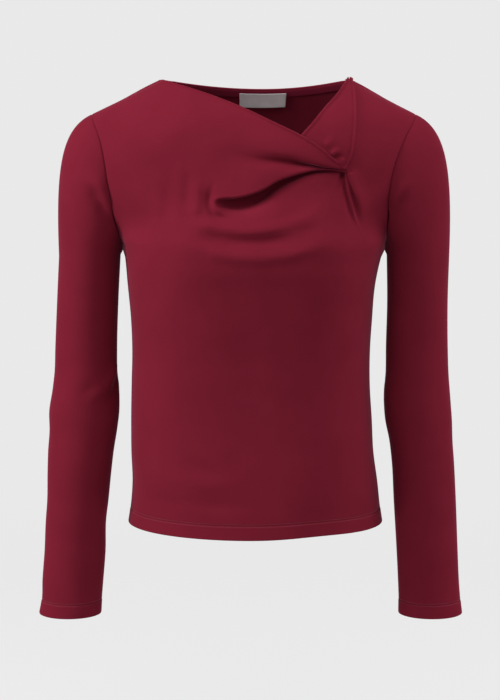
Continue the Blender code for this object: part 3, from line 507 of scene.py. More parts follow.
def mesh_piece(name, points, faces, uv, material, wrap=None):
    """A mesh object of four-sided faces, in metres, with a UV map in metres of cloth, closed at wrap."""
    mesh = bpy.data.meshes.new(name)
    mesh.from_pydata((points * MM).tolist(), [], faces.tolist())
    corner_uv = uv[faces] * MM
    if wrap:
        wrapped = np.ptp(corner_uv[..., 0], axis=1) > wrap * MM / 2
        low = corner_uv[..., 0] < wrap * MM / 2
        corner_uv[..., 0] += wrap * MM * (low & wrapped[:, None])
    mesh.uv_layers.new(name="cloth").data.foreach_set("uv", corner_uv.ravel())
    mesh.shade_smooth()
    mesh.materials.append(material)
    return link_object(name, mesh)


def cloth_piece(name, points, faces, inward, roundness, uv, material, wrap=None):
    """A closed cloth wall: outer points, inner points, and rims that are half round where roundness is 1."""
    count = len(points)
    rim = rim_edges(faces)
    edge_out = unit(np.cross(points[rim[:, 1]] - points[rim[:, 0]], -inward[rim[:, 0]]))
    out = np.zeros(points.shape)
    np.add.at(out, rim[:, 0], edge_out)
    np.add.at(out, rim[:, 1], edge_out)
    on_rim = np.unique(rim)
    place = np.zeros(count, int)
    place[on_rim] = np.arange(len(on_rim))
    half = inward[on_rim] / 2
    middle = points[on_rim] + half
    reach = np.linalg.norm(half, axis=1, keepdims=True) * roundness[on_rim][:, None]
    rows, levels = [], [np.arange(count)]
    for k in range(1, RIM_ROWS + 1):
        turn = math.pi * k / (RIM_ROWS + 1)
        rows.append(middle - half * math.cos(turn) + unit(out[on_rim]) * reach * math.sin(turn))
        levels.append(2 * count + (k - 1) * len(on_rim) + place)
    levels.append(np.arange(count) + count)
    bands = [
        np.stack([low[rim[:, 1]], low[rim[:, 0]], high[rim[:, 0]], high[rim[:, 1]]], axis=1)
        for low, high in zip(levels, levels[1:])
    ]
    every = np.concatenate([faces, faces[:, [0, 3, 2, 1]] + count, *bands])
    every_uv = np.concatenate([uv, uv, *([uv[on_rim]] * RIM_ROWS)])
    return mesh_piece(name, np.concatenate([points, points + inward, *rows]), every, every_uv, material, wrap)


def spread(low, high, step, crowd=1.0):
    """Values from low to high about a step apart, closer together near high when crowd is over 1."""
    count = max(1, round(abs(high - low) * crowd / step))
    return low + (high - low) * (1 - (1 - np.linspace(0, 1, count + 1)) ** crowd)


def seam_side(low, high, span, step, crowd=1.0):
    """Shares from low, at a seam, to high: fine steps next to the seam, and then steps of step mm."""
    fine = low + np.sign(high - low) * np.array(SEAM_STEPS) / span
    return np.concatenate([fine[:-1], spread(fine[-1], high, step / span, crowd)])


def hem_rows(edge, top, step, reach=3.4, count=11):
    """Heights from a turned edge up to top, with fine ones at the edge and on both sides of its stitches."""
    rows, stitches = spread(edge, top, step), edge + HEM_DEPTH
    kept = rows[np.abs(rows - stitches) > reach * 1.15]
    rows = np.sort(np.concatenate([kept, np.linspace(stitches - reach, stitches + reach, count)]))
    return np.concatenate([edge + np.array(EDGE_STEPS), rows[rows > edge + EDGE_STEPS[-1] + 0.9]])


def chest_rows(p, top, shares, turns):
    """Heights of the rows over the underarm: by shares in mid-panel, by the armhole's turns at its side."""
    sideways = ease((np.abs(p) - SIDEWAYS_FROM) / (1 - SIDEWAYS_FROM))
    blend = shares + ((1 - np.cos(turns)) / 2 - shares) * sideways
    return UNDERARM_Z + (top - UNDERARM_Z) * blend


def with_body(p, chest, *fields):
    """A panel's grids: the rows of the body below the rows of the chest, with the fields at 0 there."""
    rows = np.repeat(hem_rows(HEM_Z, UNDERARM_Z, BODY_STEP)[:-1, None], chest.shape[1], axis=1)
    flat = [np.concatenate([np.zeros(rows.shape), field]) for field in fields]
    return np.concatenate([np.repeat(p[:1], len(rows), axis=0), p]), np.concatenate([rows, chest]), *flat


def run_from(points, axis, end):
    """Distance along the grid from its first (end 0) or last (end -1) line."""
    steps = np.linalg.norm(np.diff(points, axis=axis), axis=-1)
    zero = np.zeros_like(np.take(steps, [0], axis=axis))
    if end == 0:
        return np.concatenate([zero, np.cumsum(steps, axis=axis)], axis=axis)
    back = np.cumsum(np.flip(steps, axis), axis=axis)
    return np.concatenate([np.flip(back, axis), zero], axis=axis)


def seam_dip(distance):
    """How deep the cloth lies below its form at a distance from a seam."""
    return SEAM_ROLL * bell(distance / SEAM_REACH)


def armpit_press(z):
    """How far the side and the sleeve swell towards each other just under the arm, where they touch."""
    below = np.maximum(UNDERARM_Z - z, 0)
    return 0.48 * (0.3 + 0.41 * below) * ease(below / 2) * ease((ARMPIT_END - below) / 8)


def edge_bead(distance):
    """How far a turned-in edge stands out over the cloth beside it, and the dip of its stitches."""
    return EDGE_BEAD * bell((distance - 0.9) / 1.1) - EDGE_DIP * bell((distance - 3.2) / 1.2)


def hem_relief(z, edge):
    """Relief of a turned hem: a fine dip at its stitches and a slightly fuller turned layer."""
    from_stitch = z - (edge + HEM_DEPTH)
    return HEM_FULLER * ease(-from_stitch / 3) - STITCH_DIP * bell(from_stitch / 1.1)


def hem_wall(z, edge):
    """Thickness of the cloth, doubled below a turned edge's stitches."""
    return CLOTH + (HEM_CLOTH - CLOTH) * ease((edge + HEM_DEPTH + 1 - z) / 2)


def hem_lift(x, z):
    """How far the front's lower edge is drawn up on the wearer's left."""
    return HEM_LIFT * bell((x - HEM_LIFT_X) / HEM_LIFT_WIDTH) * ease(1 - (z - HEM_Z) / HEM_LIFT_HEIGHT)


def sewn_relief(z, from_side, from_top, seam):
    """Relief of a torso panel: its hem, its swell below the arm, and its dips at the seams."""
    dip = np.maximum(seam_dip(from_side), seam_dip(from_top) * seam)
    return hem_relief(z, HEM_Z) + armpit_press(z) * bell(from_side / ARMPIT_SPREAD) - dip


def mitre(y, z, side):
    """Inward directions round an armhole: to its middle, and sideways where two walls hang back to back."""
    turn = np.arctan2(y / ARMHOLE_FRONT, (ARMHOLE_MIDDLE_Z - z) / ARMHOLE_HALF)
    apart = np.clip(np.cos(turn), 0, 1) ** 2
    return unit(np.stack([side * apart, -np.sin(turn), np.cos(turn)], axis=1))


def front_grids():
    """Shares, heights and gather depths of the front's two blocks of points, joined below the knot.

    The block on the wearer's right ends at the neck edge. The other goes on up to the shoulder seam.
    """
    knot_p = float(share_at(*KNOT))
    neck_p = float(share_at(HIGH_SHOULDER_X[0], HIGH_SHOULDER_Z))
    from_neck = spread(neck_p, knot_p, BAND_STEP / PANEL_SPAN, 1.45)[1:]
    right = np.concatenate([seam_side(-1, neck_p, PANEL_SPAN, CHEST_STEP), from_neck])
    rows = [np.arange(count) / count + i for i, count in enumerate(GATHER_ROWS[:-1])]
    rows.append(len(GATHER_ROWS) - (1 - np.linspace(0, 1, GATHER_ROWS[-1] + 1)[:-1]) ** 1.6)
    rows.append(len(GATHER_ROWS) - np.array(SEAM_STEPS[:-1]) / CHEST_SPAN)
    rows = np.unique(np.round(np.concatenate(rows), 6))[:, None]
    x = across(right, KNOT[1])[None] + np.zeros(rows.shape)
    for _ in range(GATHER_ROUNDS):
        z, depth = gathers(x, rows)
        x = across(right[None], z)
    shares = (z - UNDERARM_Z) / (z[-1:] - UNDERARM_Z)
    top = np.where(right <= neck_p, ridge_of(right), z[-1])
    top[-1] = KNOT[1]
    turns = math.pi * np.arange(len(rows)) / (len(rows) - 1)
    chest = chest_rows(right[None], top[None], shares, turns[:, None])
    block_right = with_body(np.repeat(right[None], len(chest), 0), chest, depth)

    slit_top_p = float(share_at(SLIT_TOP_X, HIGH_SHOULDER_Z))
    for _ in range(ROUNDS):
        slit_top_p = float(share_at(SLIT_TOP_X, ridge_of(np.array([slit_top_p]))[0]))
    share = seam_side(1, 0, (1 - knot_p) * PANEL_SPAN, LEFT_STEP, 1.6)[::-1]
    top = ridge_of(slit_top_p + (1 - slit_top_p) * share)
    knot_share = (KNOT[1] - UNDERARM_Z) / (top[0] - UNDERARM_Z)
    climb = 1 - (1 - np.linspace(0, 1, SLIT_ROWS)[1:]) ** 1.6
    climb = np.unique(np.round(np.concatenate([climb, 1 - np.array(SEAM_STEPS[1:]) / SLIT_SPAN]), 6))
    up = np.concatenate([knot_share * shares[:, -1], knot_share + (1 - knot_share) * climb])
    marks = np.concatenate([np.arange(len(rows)) * 0.5, (len(rows) - 1) * 0.5 + np.arange(1, len(climb) + 1)])
    chest = chest_rows(share[None], top[None], up[:, None], (math.pi * marks / marks[-1])[:, None])
    rise = np.clip((chest[:, :1] - KNOT[1]) / (top[0] - KNOT[1]), 0, 1)
    edge_p = np.where(rise > 0, share_at(KNOT[0] + (SLIT_TOP_X - KNOT[0]) * rise, chest[:, :1]), knot_p)
    knot_depth = np.concatenate([depth[:, -1], np.zeros(len(climb))])[:, None]
    p_left = edge_p + (1 - edge_p) * share[None]
    fade = ease((KNOT[0] + KNOT_FADE - across(p_left, chest)) / KNOT_FADE)
    return block_right, with_body(p_left, chest, knot_depth * fade)


def shoulder_seam(x):
    """1 beside the neck, where the panels are sewn at the shoulder, and 0 along the open neck."""
    return ease((HIGH_SHOULDER_X[0] + 2 - x) / 4) + ease((x - HIGH_SHOULDER_X[1] + 2) / 4)


def make_front(material):
    """Front panel: gathers and folds run out from the knot, and the neck band passes over the strap."""
    grids = []
    for (p, z, depth), side in zip(front_grids(), (0, -1)):
        points = torso(p, z, -1)
        x = points[..., 0]
        folds = fold_height(x, z, FRONT_FOLDS) * (ease((KNOT[1] + 2 - z) / FOLD_FADE) if side else 1)
        folds += fold_height(x, z, FAN_FOLDS) * ease((KNOT[1] - z) / FAN_FADE)
        points[..., 1] -= depth + folds
        points[..., 2] += hem_lift(x, z)
        out = normals(points, grid_faces(np.arange(p.size).reshape(p.shape)))
        seam = np.ones(x.shape) if side else shoulder_seam(x)
        from_top, from_side = run_from(points, 0, -1), run_from(points, 1, side)
        from_edge = run_from(points, 1, 0) + FAR * (z < KNOT[1]) if side else from_top + FAR * seam
        bead = edge_bead(from_edge) * ease((KNOT[0] - 4 - x) / 12)
        points += out * (sewn_relief(z, from_side, from_top, seam) + bead)[..., None]
        grids.append((points, p, z, from_edge))
    right, left = grids
    numbers_right = np.arange(right[2].size).reshape(right[2].shape)
    numbers_left = right[2].size + np.arange(left[2].size).reshape(left[2].shape)
    numbers_left[: len(numbers_right), 0] = numbers_right[:, -1]
    faces = np.concatenate([grid_faces(numbers_right), grid_faces(numbers_left)])
    used, faces = np.unique(faces, return_inverse=True)
    faces = faces.reshape(-1, 4)
    points, p, z, from_edge = (
        np.concatenate([a.reshape(right[2].size, -1), b.reshape(left[2].size, -1)])[used]
        for a, b in zip(right, left)
    )
    p, z, from_edge = p[:, 0], z[:, 0], from_edge[:, 0]
    inward, roundness = panel_edges(points, faces, p, z, from_edge)
    uv = np.stack([p * PANEL_SPAN, z], axis=1)
    return cloth_piece("front_panel", points, faces, inward, roundness, uv, material)


def panel_edges(points, faces, p, z, from_edge):
    """Inward vectors of a torso panel, squared to its seams, and how round its edges are."""
    inward = -normals(points, faces)
    on_side = np.abs(p) > ON_SIDE
    at_armhole = on_side & (z > UNDERARM_Z - 1)
    on_seam = np.abs(points[:, 1]) < SEAM_GAP + SEAM_ROLL * 0.36
    on_seam &= on_side | (z > ridge_height(points[:, 0]) - 4)
    inward = np.where((on_seam & ~at_armhole)[:, None], unit(inward * (1, 0, 1)), inward)
    inward = np.where(at_armhole[:, None], mitre(points[:, 1], z, -np.sign(p)), inward)
    seam = on_seam | at_armhole
    thickness = hem_wall(z, HEM_Z) + (EDGE_CLOTH - CLOTH) * ease(1 - from_edge / EDGE_DEPTH) * ~seam
    return inward * thickness[:, None], np.where(seam, 0.0, 1.0)


def back_neck_height(x):
    """Height of the back neck edge: a shallow curve between the high shoulder points."""
    from_low = x - BACK_NECK_LOW_X
    reach = np.where(from_low < 0, *HIGH_SHOULDER_X) - BACK_NECK_LOW_X
    return HIGH_SHOULDER_Z - BACK_NECK_DROP * (1 - (from_low / reach) ** 2)


def back_panel():
    """Grid of the back's points, its inward vectors, and what its wall needs."""
    right, left = (float(share_at(x, HIGH_SHOULDER_Z)) for x in HIGH_SHOULDER_X)
    p = np.concatenate(
        [
            seam_side(-1, right, PANEL_SPAN, BACK_STEP),
            spread(right, left, BACK_NECK_STEP / PANEL_SPAN)[1:],
            seam_side(1, left, PANEL_SPAN, BACK_STEP)[::-1][1:],
        ]
    )
    neck_z = np.full(len(p), HIGH_SHOULDER_Z - 4)
    for _ in range(ROUNDS):
        neck_z = back_neck_height(across(p, neck_z))
    top = np.where((p > right) & (p < left), neck_z, ridge_of(p))
    down = 1 - np.linspace(0, 1, BACK_CHEST_ROWS)
    shares = 1 - 1.12 * down**2 / (down + 0.12)
    fine = np.array(SEAM_STEPS[1:]) / CHEST_SPAN
    shares = np.unique(np.round(np.concatenate([shares, 1 - fine**2 * 20]), 7))
    turns = np.linspace(0, math.pi, len(shares))
    chest = chest_rows(p[None], top[None], shares[:, None], turns[:, None])
    p, z = with_body(np.repeat(p[None], len(chest), 0), chest)
    p, z = p[:, ::-1], z[:, ::-1]
    faces = grid_faces(np.arange(p.size).reshape(p.shape))
    points = torso(p, z, 1)
    x = points[..., 0]
    points[..., 1] += fold_height(x, z, BACK_FOLDS)
    seam = shoulder_seam(x)
    from_top = run_from(points, 0, -1)
    from_side = np.minimum(run_from(points, 1, 0), run_from(points, 1, -1))
    puff = PUFF * seam * bell((from_top - 6) / 4) * ease((np.abs(x) - 100) / 8) * ease((165 - np.abs(x)) / 45)
    out = normals(points, faces)
    points += out * (puff + sewn_relief(z, from_side, from_top, seam))[..., None]
    p, z, from_edge = p.ravel(), z.ravel(), (from_top + FAR * seam).ravel()
    inward, roundness = panel_edges(points.reshape(-1, 3), faces, p, z, from_edge)
    return points, inward.reshape(points.shape), faces, roundness, np.stack([-p * PANEL_SPAN, z], axis=1)


def make_back(panel, material):
    """Back panel, with its scooped neck edge turned in."""
    points, inward, faces, roundness, uv = panel
    flat = points.reshape(-1, 3), faces, inward.reshape(-1, 3)
    return cloth_piece("back_panel", *flat, roundness, uv, material)


def over_front(x, z, lift):
    """Points at (x, z) of the front's form, moved out by lift."""
    p, step = share_at(x, z), 0.5
    points = torso(p, z, -1)
    beside = torso(share_at(x + step, z), z, -1) - points
    above = points - torso(p, z - step, -1)
    return points + np.asarray(lift)[..., None] * unit(np.cross(beside, above))


def make_strap(material):
    """Strap over the wearer's left breast, from the shoulder seam to its end behind the neck band."""
    end = len(STRAP_ROWS.inner_x) - 1
    at = spread(end, 0, STRAP_STEP)[::-1]
    inner_x, inner_z, outer_x, outer_z = (smooth(at, range(end + 1), values)[:, None] for values in STRAP_ROWS)
    share = np.linspace(0, 1, STRAP_COLUMNS)[None]
    x = inner_x + (outer_x - inner_x) * share
    sag = STRAP_SAG * (at[:, None] / end) ** 2 * np.sin(math.pi * share)
    z = inner_z + (outer_z - inner_z) * share - sag
    z = np.minimum(z, ridge_height(x) - SEAM_GAP / 4)
    flat = over_front(x, z, np.full(x.shape, STRAP_LIFT))
    from_edge = np.minimum(run_from(flat, 1, 0), run_from(flat, 1, -1))
    lift = STRAP_LIFT + fold_height(x, z, STRAP_FOLDS) + edge_bead(from_edge)
    points = over_front(x, z, lift)[::-1].reshape(-1, 3)
    faces = grid_faces(np.arange(x.size).reshape(x.shape))
    thickness = CLOTH + (STRAP_EDGE - CLOTH) * ease(1 - from_edge[::-1].ravel() / EDGE_DEPTH)
    inward = -normals(points, faces) * thickness[:, None]
    uv = np.stack([x[::-1].ravel(), z[::-1].ravel()], axis=1)
    return cloth_piece("strap", points, faces, inward, np.ones(len(points)), uv, material)


def between(grid, rows, columns):
    """Values of a grid at fractional rows and columns."""
    row, column = np.meshgrid(rows, columns, indexing="ij")
    i = np.clip(row.astype(int), 0, grid.shape[0] - 2)
    j = np.clip(column.astype(int), 0, grid.shape[1] - 2)
    s, t = (row - i)[..., None], (column - j)[..., None]
    low = grid[i, j] * (1 - t) + grid[i, j + 1] * t
    return low * (1 - s) + (grid[i + 1, j] * (1 - t) + grid[i + 1, j + 1] * t) * s


def lining_piece(name, panel, x_range, z_below, clear, thickness, material, relief):
    """A thin strip inside the back: the panel's own points, moved in past its wall by clear and relief."""
    points, inward = panel[0], panel[1]
    columns = np.interp([-x for x in x_range[::-1]], -points[-1, :, 0], range(points.shape[1]))
    drop = points[-1, points.shape[1] // 2, 2] - points[::-1, points.shape[1] // 2, 2]
    rows = len(drop) - 1 - np.interp(z_below[::-1], drop, range(len(drop)))
    height, width = abs(z_below[1] - z_below[0]), abs(x_range[1] - x_range[0])
    rows = np.linspace(*rows, max(8, int(height / LINING_STEPS[0])))
    columns = np.linspace(*columns, max(8, int(width / LINING_STEPS[1])))
    start, into = between(points, rows, columns), unit(between(inward, rows, columns))
    faces = grid_faces(np.arange(start[..., 0].size).reshape(start.shape[:2]))
    up, side = np.meshgrid(np.linspace(0, 1, len(rows)), np.linspace(0, 1, len(columns)), indexing="ij")
    outer = (start + into * (CLOTH + clear + relief(side, up))[..., None]).reshape(-1, 3)
    uv = np.stack([-side.ravel() * width, up.ravel() * height], axis=1)
    flat = into.reshape(-1, 3) * thickness
    return cloth_piece(name, outer, faces, flat, np.ones(len(outer)), uv, material)


def make_tape(panel, material):
    """Tape that covers the back neck seam on the inside."""
    reach = (HIGH_SHOULDER_X[0] + TAPE_END, HIGH_SHOULDER_X[1] - TAPE_END)
    below = (TAPE_TOP, TAPE_TOP + TAPE_WIDTH)
    relief = lambda side, up: 0.25 * np.sin(math.pi * up)
    return lining_piece("back_neck_tape", panel, reach, below, LINING_GAP, TAPE_CLOTH, material, relief)


def make_label(panel, material):
    """Blank woven label, held by its top corners, its lower edge a little clear of the back."""
    below = (LABEL_TOP, LABEL_TOP + LABEL_HEIGHT)
    clear = 3 * LINING_GAP + TAPE_CLOTH
    relief = lambda side, up: 0.5 * (1 - up) ** 1.5 + 0.35 * np.sin(math.pi * side) * (1 - up)
    return lining_piece("blank_label", panel, LABEL_X, below, clear, LABEL_CLOTH, material, relief)


def armhole_ring(turn, side):
    """Armhole seam at angles from the underarm, forward and up to the shoulder point."""
    z = ARMHOLE_MIDDLE_Z - ARMHOLE_HALF * np.cos(turn)
    reach = level(z, "right" if side < 0 else "left")
    depth = np.where(np.sin(turn) > 0, ARMHOLE_FRONT, ARMHOLE_BACK)
    y = -(depth + SEAM_GAP / 2) * np.sin(turn)
    return np.stack([side * (reach + SEAM_GAP), y, z], axis=-1)


def sleeve_ring(turn, z, rows, side):
    """Level ring round the arm at height z."""
    outer, inner = level(z, "outer", rows), level(z, "inner", rows)
    depth = np.where(np.sin(turn) > 0, level(z, "front", rows), level(z, "back", rows))
    x = (outer + inner) / 2 - (outer - inner) / 2 * np.cos(turn)
    return np.stack([side * x, -depth * np.sin(turn), z + 0 * turn], axis=-1)


def cap_rings(turn, rows, side, shares):
    """Rings from the armhole seam to just short of the first level ring: a cubic arc at each angle."""
    start, end = armhole_ring(turn, side), sleeve_ring(turn, rows.z[-1], rows, side)
    span = np.linalg.norm(end - start, axis=-1, keepdims=True)
    raised = (1 - np.cos(turn)) / 2
    low, high = (np.array(row)[:, None] for row in CAP_PULLS)
    pull = CapPull(*(low + (high - low) * raised))
    leave = unit(np.stack([side * pull.out, -pull.forward * np.sin(turn), -pull.down], axis=-1))
    first = start + leave * span * pull.near[:, None]
    second = end + np.stack([side * pull.swell, 0 * turn, pull.far * span[:, 0]], axis=-1)
    t = shares[:, None, None]
    return (1 - t) ** 3 * start + 3 * t * (1 - t) ** 2 * first + 3 * t**2 * (1 - t) * second + t**3 * end


def make_sleeve(name, side, rows, folds, material):
    """One-piece sleeve: a tube from the armhole seam to the turned cuff, its own seam along the inner side."""
    turn = np.linspace(0, 2 * math.pi, SLEEVE_SIDES + 1)[:-1]
    cuff = rows.z[0]
    arm = np.stack([sleeve_ring(turn, z, rows, side) for z in hem_rows(cuff, rows.z[-1], SLEEVE_STEP)[::-1]])
    points = np.concatenate([cap_rings(turn, rows, side, seam_side(0, 1, CAP_SPAN, SLEEVE_STEP)[:-1]), arm])
    numbers = ring_numbers(len(points), SLEEVE_SIDES)
    faces = grid_faces(numbers[::-1] if side > 0 else numbers)
    round_arm = np.tile(SLEEVE_GIRTH * turn / (2 * math.pi), (len(points), 1))
    from_inner = np.where(round_arm > SLEEVE_GIRTH * 0.75, round_arm - SLEEVE_GIRTH, round_arm)
    x, z = points[..., 0], points[..., 2]
    relief = fold_height(from_inner, z, folds)
    relief += fold_height(x, z, ARMPIT_PULLS[side]) * ease(np.sin(turn) * 3)[None]
    relief += hem_relief(z, cuff) - seam_dip(run_from(points, 0, 0))
    relief += armpit_press(z) * bell(from_inner / ARMPIT_SPREAD)
    relief -= SLEEVE_SEAM * bell(from_inner / 1.6) * ease((rows.z[-1] - z) / 30 + 1)
    points = (points + normals(points, faces) * relief[..., None]).reshape(-1, 3)
    z = z.ravel()
    inward = -normals(points, faces) * hem_wall(z, cuff)[:, None]
    seam = slice(0, SLEEVE_SIDES)
    inward[seam] = mitre(points[seam, 1], z[seam], side) * CLOTH
    roundness = np.ones(len(points))
    roundness[seam] = 0
    uv = np.stack([round_arm.ravel(), z], axis=1)
    return cloth_piece(name, points, faces, inward, roundness, uv, material, wrap=SLEEVE_GIRTH)


def stitch_piece(name, centres, along, out, material, rings=5, sides=6):
    """Rows of thread stitches: each a short spindle that lies along the seam, half sunk in the cloth."""
    t = np.linspace(-1, 1, rings)
    girth = np.sqrt(np.clip(1 - t**2, 0.0, 1)) ** 0.7 * STITCH_THICKNESS / 2
    angle = 2 * math.pi * np.arange(sides) / sides
    beside = unit(np.cross(along, out))
    lift = girth[:, None] * np.sin(angle) - (t**2)[:, None] * STITCH_THICKNESS * 0.3
    points = (
        centres[:, None, None]
        + along[:, None, None] * (t * STITCH_LENGTH / 2)[:, None, None]
        + beside[:, None, None] * (girth[:, None] * np.cos(angle))[..., None]
        + out[:, None, None] * lift[..., None]
    ).reshape(-1, 3)
    first = (np.arange(len(centres)) * rings * sides)[:, None, None]
    faces = (grid_faces(ring_numbers(rings, sides))[None] + first).reshape(-1, 4)
    return mesh_piece(name, points, faces, points[:, [0, 2]], material)


def stitches_round(ring):
    """Places and directions of stitches about a pitch apart round a closed ring of points."""
    closed = np.concatenate([ring, ring[:1]])
    run = np.concatenate([[0], np.cumsum(np.linalg.norm(np.diff(closed, axis=0), axis=1))])
    count = round(run[-1] / STITCH_PITCH)
    at = (np.arange(count) + 0.5) * run[-1] / count
    place, ahead, behind = (
        np.stack([np.interp((at + step) % run[-1], run, closed[:, i]) for i in range(3)], axis=1)
        for step in (0, 1, -1)
    )
    return place, unit(ahead - behind)


def edge_stitches(name, ring_at, edge, material, centre=None):
    """Twin rows of stitches round a turned edge. ring_at gives the cloth's ring at a height."""
    rows = []
    for z in (edge + HEM_DEPTH + row for row in STITCH_ROWS):
        ring = ring_at(z)
        middle = ring.mean(axis=0) if centre is None else centre
        rows.append(stitches_round(ring + hem_relief(z, edge) * unit((ring - middle) * (1, 1, 0))))
    place, along = (np.concatenate(parts) for parts in zip(*rows))
    out = unit(np.cross(along, (0, 0, 1.0)))
    out *= np.sign(np.sum(out * (place - place.mean(axis=0)), axis=1, keepdims=True))
    return stitch_piece(name, place + out * STITCH_OUT, along, out, material)


def hem_ring(z):
    """The torso's ring at height z: along the front and back again behind."""
    p = np.linspace(-1, 1, HEM_POINTS)
    front = torso(p, np.full(p.shape, z), -1)
    front[:, 2] += hem_lift(front[:, 0], z)
    return np.concatenate([front, torso(p[::-1], np.full(p.shape, z), 1)])


def cuff_stitches(name, rows, side, material):
    """Twin rows of stitches round a turned cuff."""
    turn = np.mod(np.linspace(0, 2 * math.pi, CUFF_POINTS + 1)[:-1] * -side, 2 * math.pi)
    return edge_stitches(name, lambda z: sleeve_ring(turn, z, rows, side), rows.z[0], material)


class Nodes:
    """Short ways to add, fill and link the nodes of one tree."""

    def __init__(self, tree):
        self.tree = tree

    def add(self, kind, inputs={}, **values):
        """A new node with these values, and with these values or links at its inputs."""
        node = self.tree.nodes.new(kind)
        for name, value in values.items():
            setattr(node, name, value)
        self.fill(node, inputs)
        return node

    def fill(self, node, inputs):
        for name, value in inputs.items():
            if isinstance(value, bpy.types.NodeSocket):
                self.tree.links.new(value, node.inputs[name])
            else:
                node.inputs[name].default_value = value

    def place(self):
        return self.add("ShaderNodeTexCoord").outputs["Object"]

    def cloth(self):
        return self.add("ShaderNodeUVMap", uv_map="cloth").outputs["UV"]

    def math(self, operation, *values):
        return self.add("ShaderNodeMath", dict(enumerate(values)), operation=operation).outputs[0]

    def line(self, value, factor, start):
        """value times factor, plus start."""
        return self.math("MULTIPLY_ADD", value, factor, start)

    def noise(self, vector, scale, detail=2.0):
        values = {"Vector": vector, "Scale": scale, "Detail": detail, "Roughness": 0.5}
        return self.add("ShaderNodeTexNoise", values).outputs["Fac"]

    def mix(self, factor, low, high):
        values = {"Factor": factor, 6: (*low, 1), 7: (*high, 1)}
        return self.add("ShaderNodeMix", values, data_type="RGBA").outputs[2]

    def bump(self, height, strength, distance):
        values = {"Height": height, "Strength": strength, "Distance": distance}
        return self.add("ShaderNodeBump", values).outputs["Normal"]


def new_material(name):
    """A material, its nodes and its Principled shader."""
    material = bpy.data.materials.new(name)
    material.use_nodes = True
    return material, Nodes(material.node_tree), material.node_tree.nodes["Principled BSDF"]


def knit_group():
    """Fine jersey: upright wales crossed by courses of small loops, with soft unevenness.

    Height is |sin| across the wales times a wave along them that bends with each wale. Shade is the slow
    unevenness of the dye and of the knit.
    """
    group = bpy.data.node_groups.new("fine_jersey", "ShaderNodeTree")
    for name, way, kind in (
        ("Cloth", "INPUT", "NodeSocketVector"),
        ("Place", "INPUT", "NodeSocketVector"),
        ("Wales", "INPUT", "NodeSocketFloat"),
        ("Courses", "INPUT", "NodeSocketFloat"),
        ("Height", "OUTPUT", "NodeSocketFloat"),
        ("Shade", "OUTPUT", "NodeSocketFloat"),
    ):
        group.interface.new_socket(name=name, in_out=way, socket_type=kind)
    n = Nodes(group)
    given, told = n.add("NodeGroupInput").outputs, n.add("NodeGroupOutput")
    parts = n.add("ShaderNodeSeparateXYZ", {0: given["Cloth"]}).outputs
    u = n.math("MULTIPLY", parts[0], given["Wales"])
    v = n.math("MULTIPLY", parts[1], given["Courses"])
    wale = n.math("ABSOLUTE", n.math("SINE", n.math("MULTIPLY", u, math.pi)))
    loop = n.math("SINE", n.line(v, 2 * math.pi, n.math("MULTIPLY", wale, 2.2)))
    knit = n.math("MULTIPLY", wale, n.line(loop, 0.3, 0.7))
    slow, fuzz = n.noise(given["Place"], 26.0, 3.0), n.noise(given["Place"], 900.0)
    height = n.line(knit, 0.6, n.math("MULTIPLY", fuzz, 0.5))
    n.fill(told, {"Height": height, "Shade": n.line(slow, 0.75, n.math("MULTIPLY", fuzz, 0.25))})
    return group


def jersey(name, group, dark, light):
    """Smooth stretch jersey: a deep colour that varies slightly, a soft sheen, and a fine knit's bump."""
    material, n, shader = new_material(name)
    inputs = {"Cloth": n.cloth(), "Place": n.place(), "Wales": 1200.0, "Courses": 1500.0}
    knit = n.add("ShaderNodeGroup", inputs, node_tree=group)
    n.fill(
        shader,
        {
            "Base Color": n.mix(knit.outputs["Shade"], dark, light),
            "Roughness": n.line(knit.outputs["Shade"], 0.12, 0.56),
            "Normal": n.bump(knit.outputs["Height"], 0.28, 0.00018),
            "Specular IOR Level": 0.0,
            "Sheen Weight": 0.26,
            "Sheen Roughness": 0.3,
            "Sheen Tint": (1.0, 0.3, 0.45, 1),
        },
    )
    return material


def thread(name, colour):
    """Sewing thread: a fine twist along its length."""
    material, n, shader = new_material(name)
    grain = n.mix(n.noise(n.place(), 1800.0, 1.0), [0.7 * part for part in colour], colour)
    n.fill(shader, {"Base Color": grain, "Roughness": 0.5, "Sheen Weight": 0.2})
    return material


def satin_label(name):
    """Woven grey satin, painted paler than its own grey to stand in for light inside the back neck: fine
    lengthwise floats, a little gloss.
    """
    material, n, shader = new_material(name)
    parts = n.add("ShaderNodeSeparateXYZ", {0: n.cloth()}).outputs
    weft = n.math("SINE", n.math("MULTIPLY", parts[1], 2 * math.pi * 2400))
    warp = n.math("SINE", n.math("MULTIPLY", parts[0], 2 * math.pi * 1500))
    weave = n.math("MULTIPLY", weft, n.line(warp, 0.3, 0.7))
    slow = n.noise(n.place(), 90.0)
    n.fill(
        shader,
        {
            # paler than the satin's own grey: painted light for the dim inside of the back neck
            "Base Color": n.mix(slow, (0.54, 0.475, 0.487), (0.72, 0.645, 0.66)),
            "Roughness": n.line(slow, 0.15, 0.36),
            "Normal": n.bump(n.line(weave, 0.5, 0.5), 0.3, 0.0001),
            "Sheen Weight": 0.15,
        },
    )
    return material


Sheet = namedtuple("Sheet", "piece node flat area held rests_on")


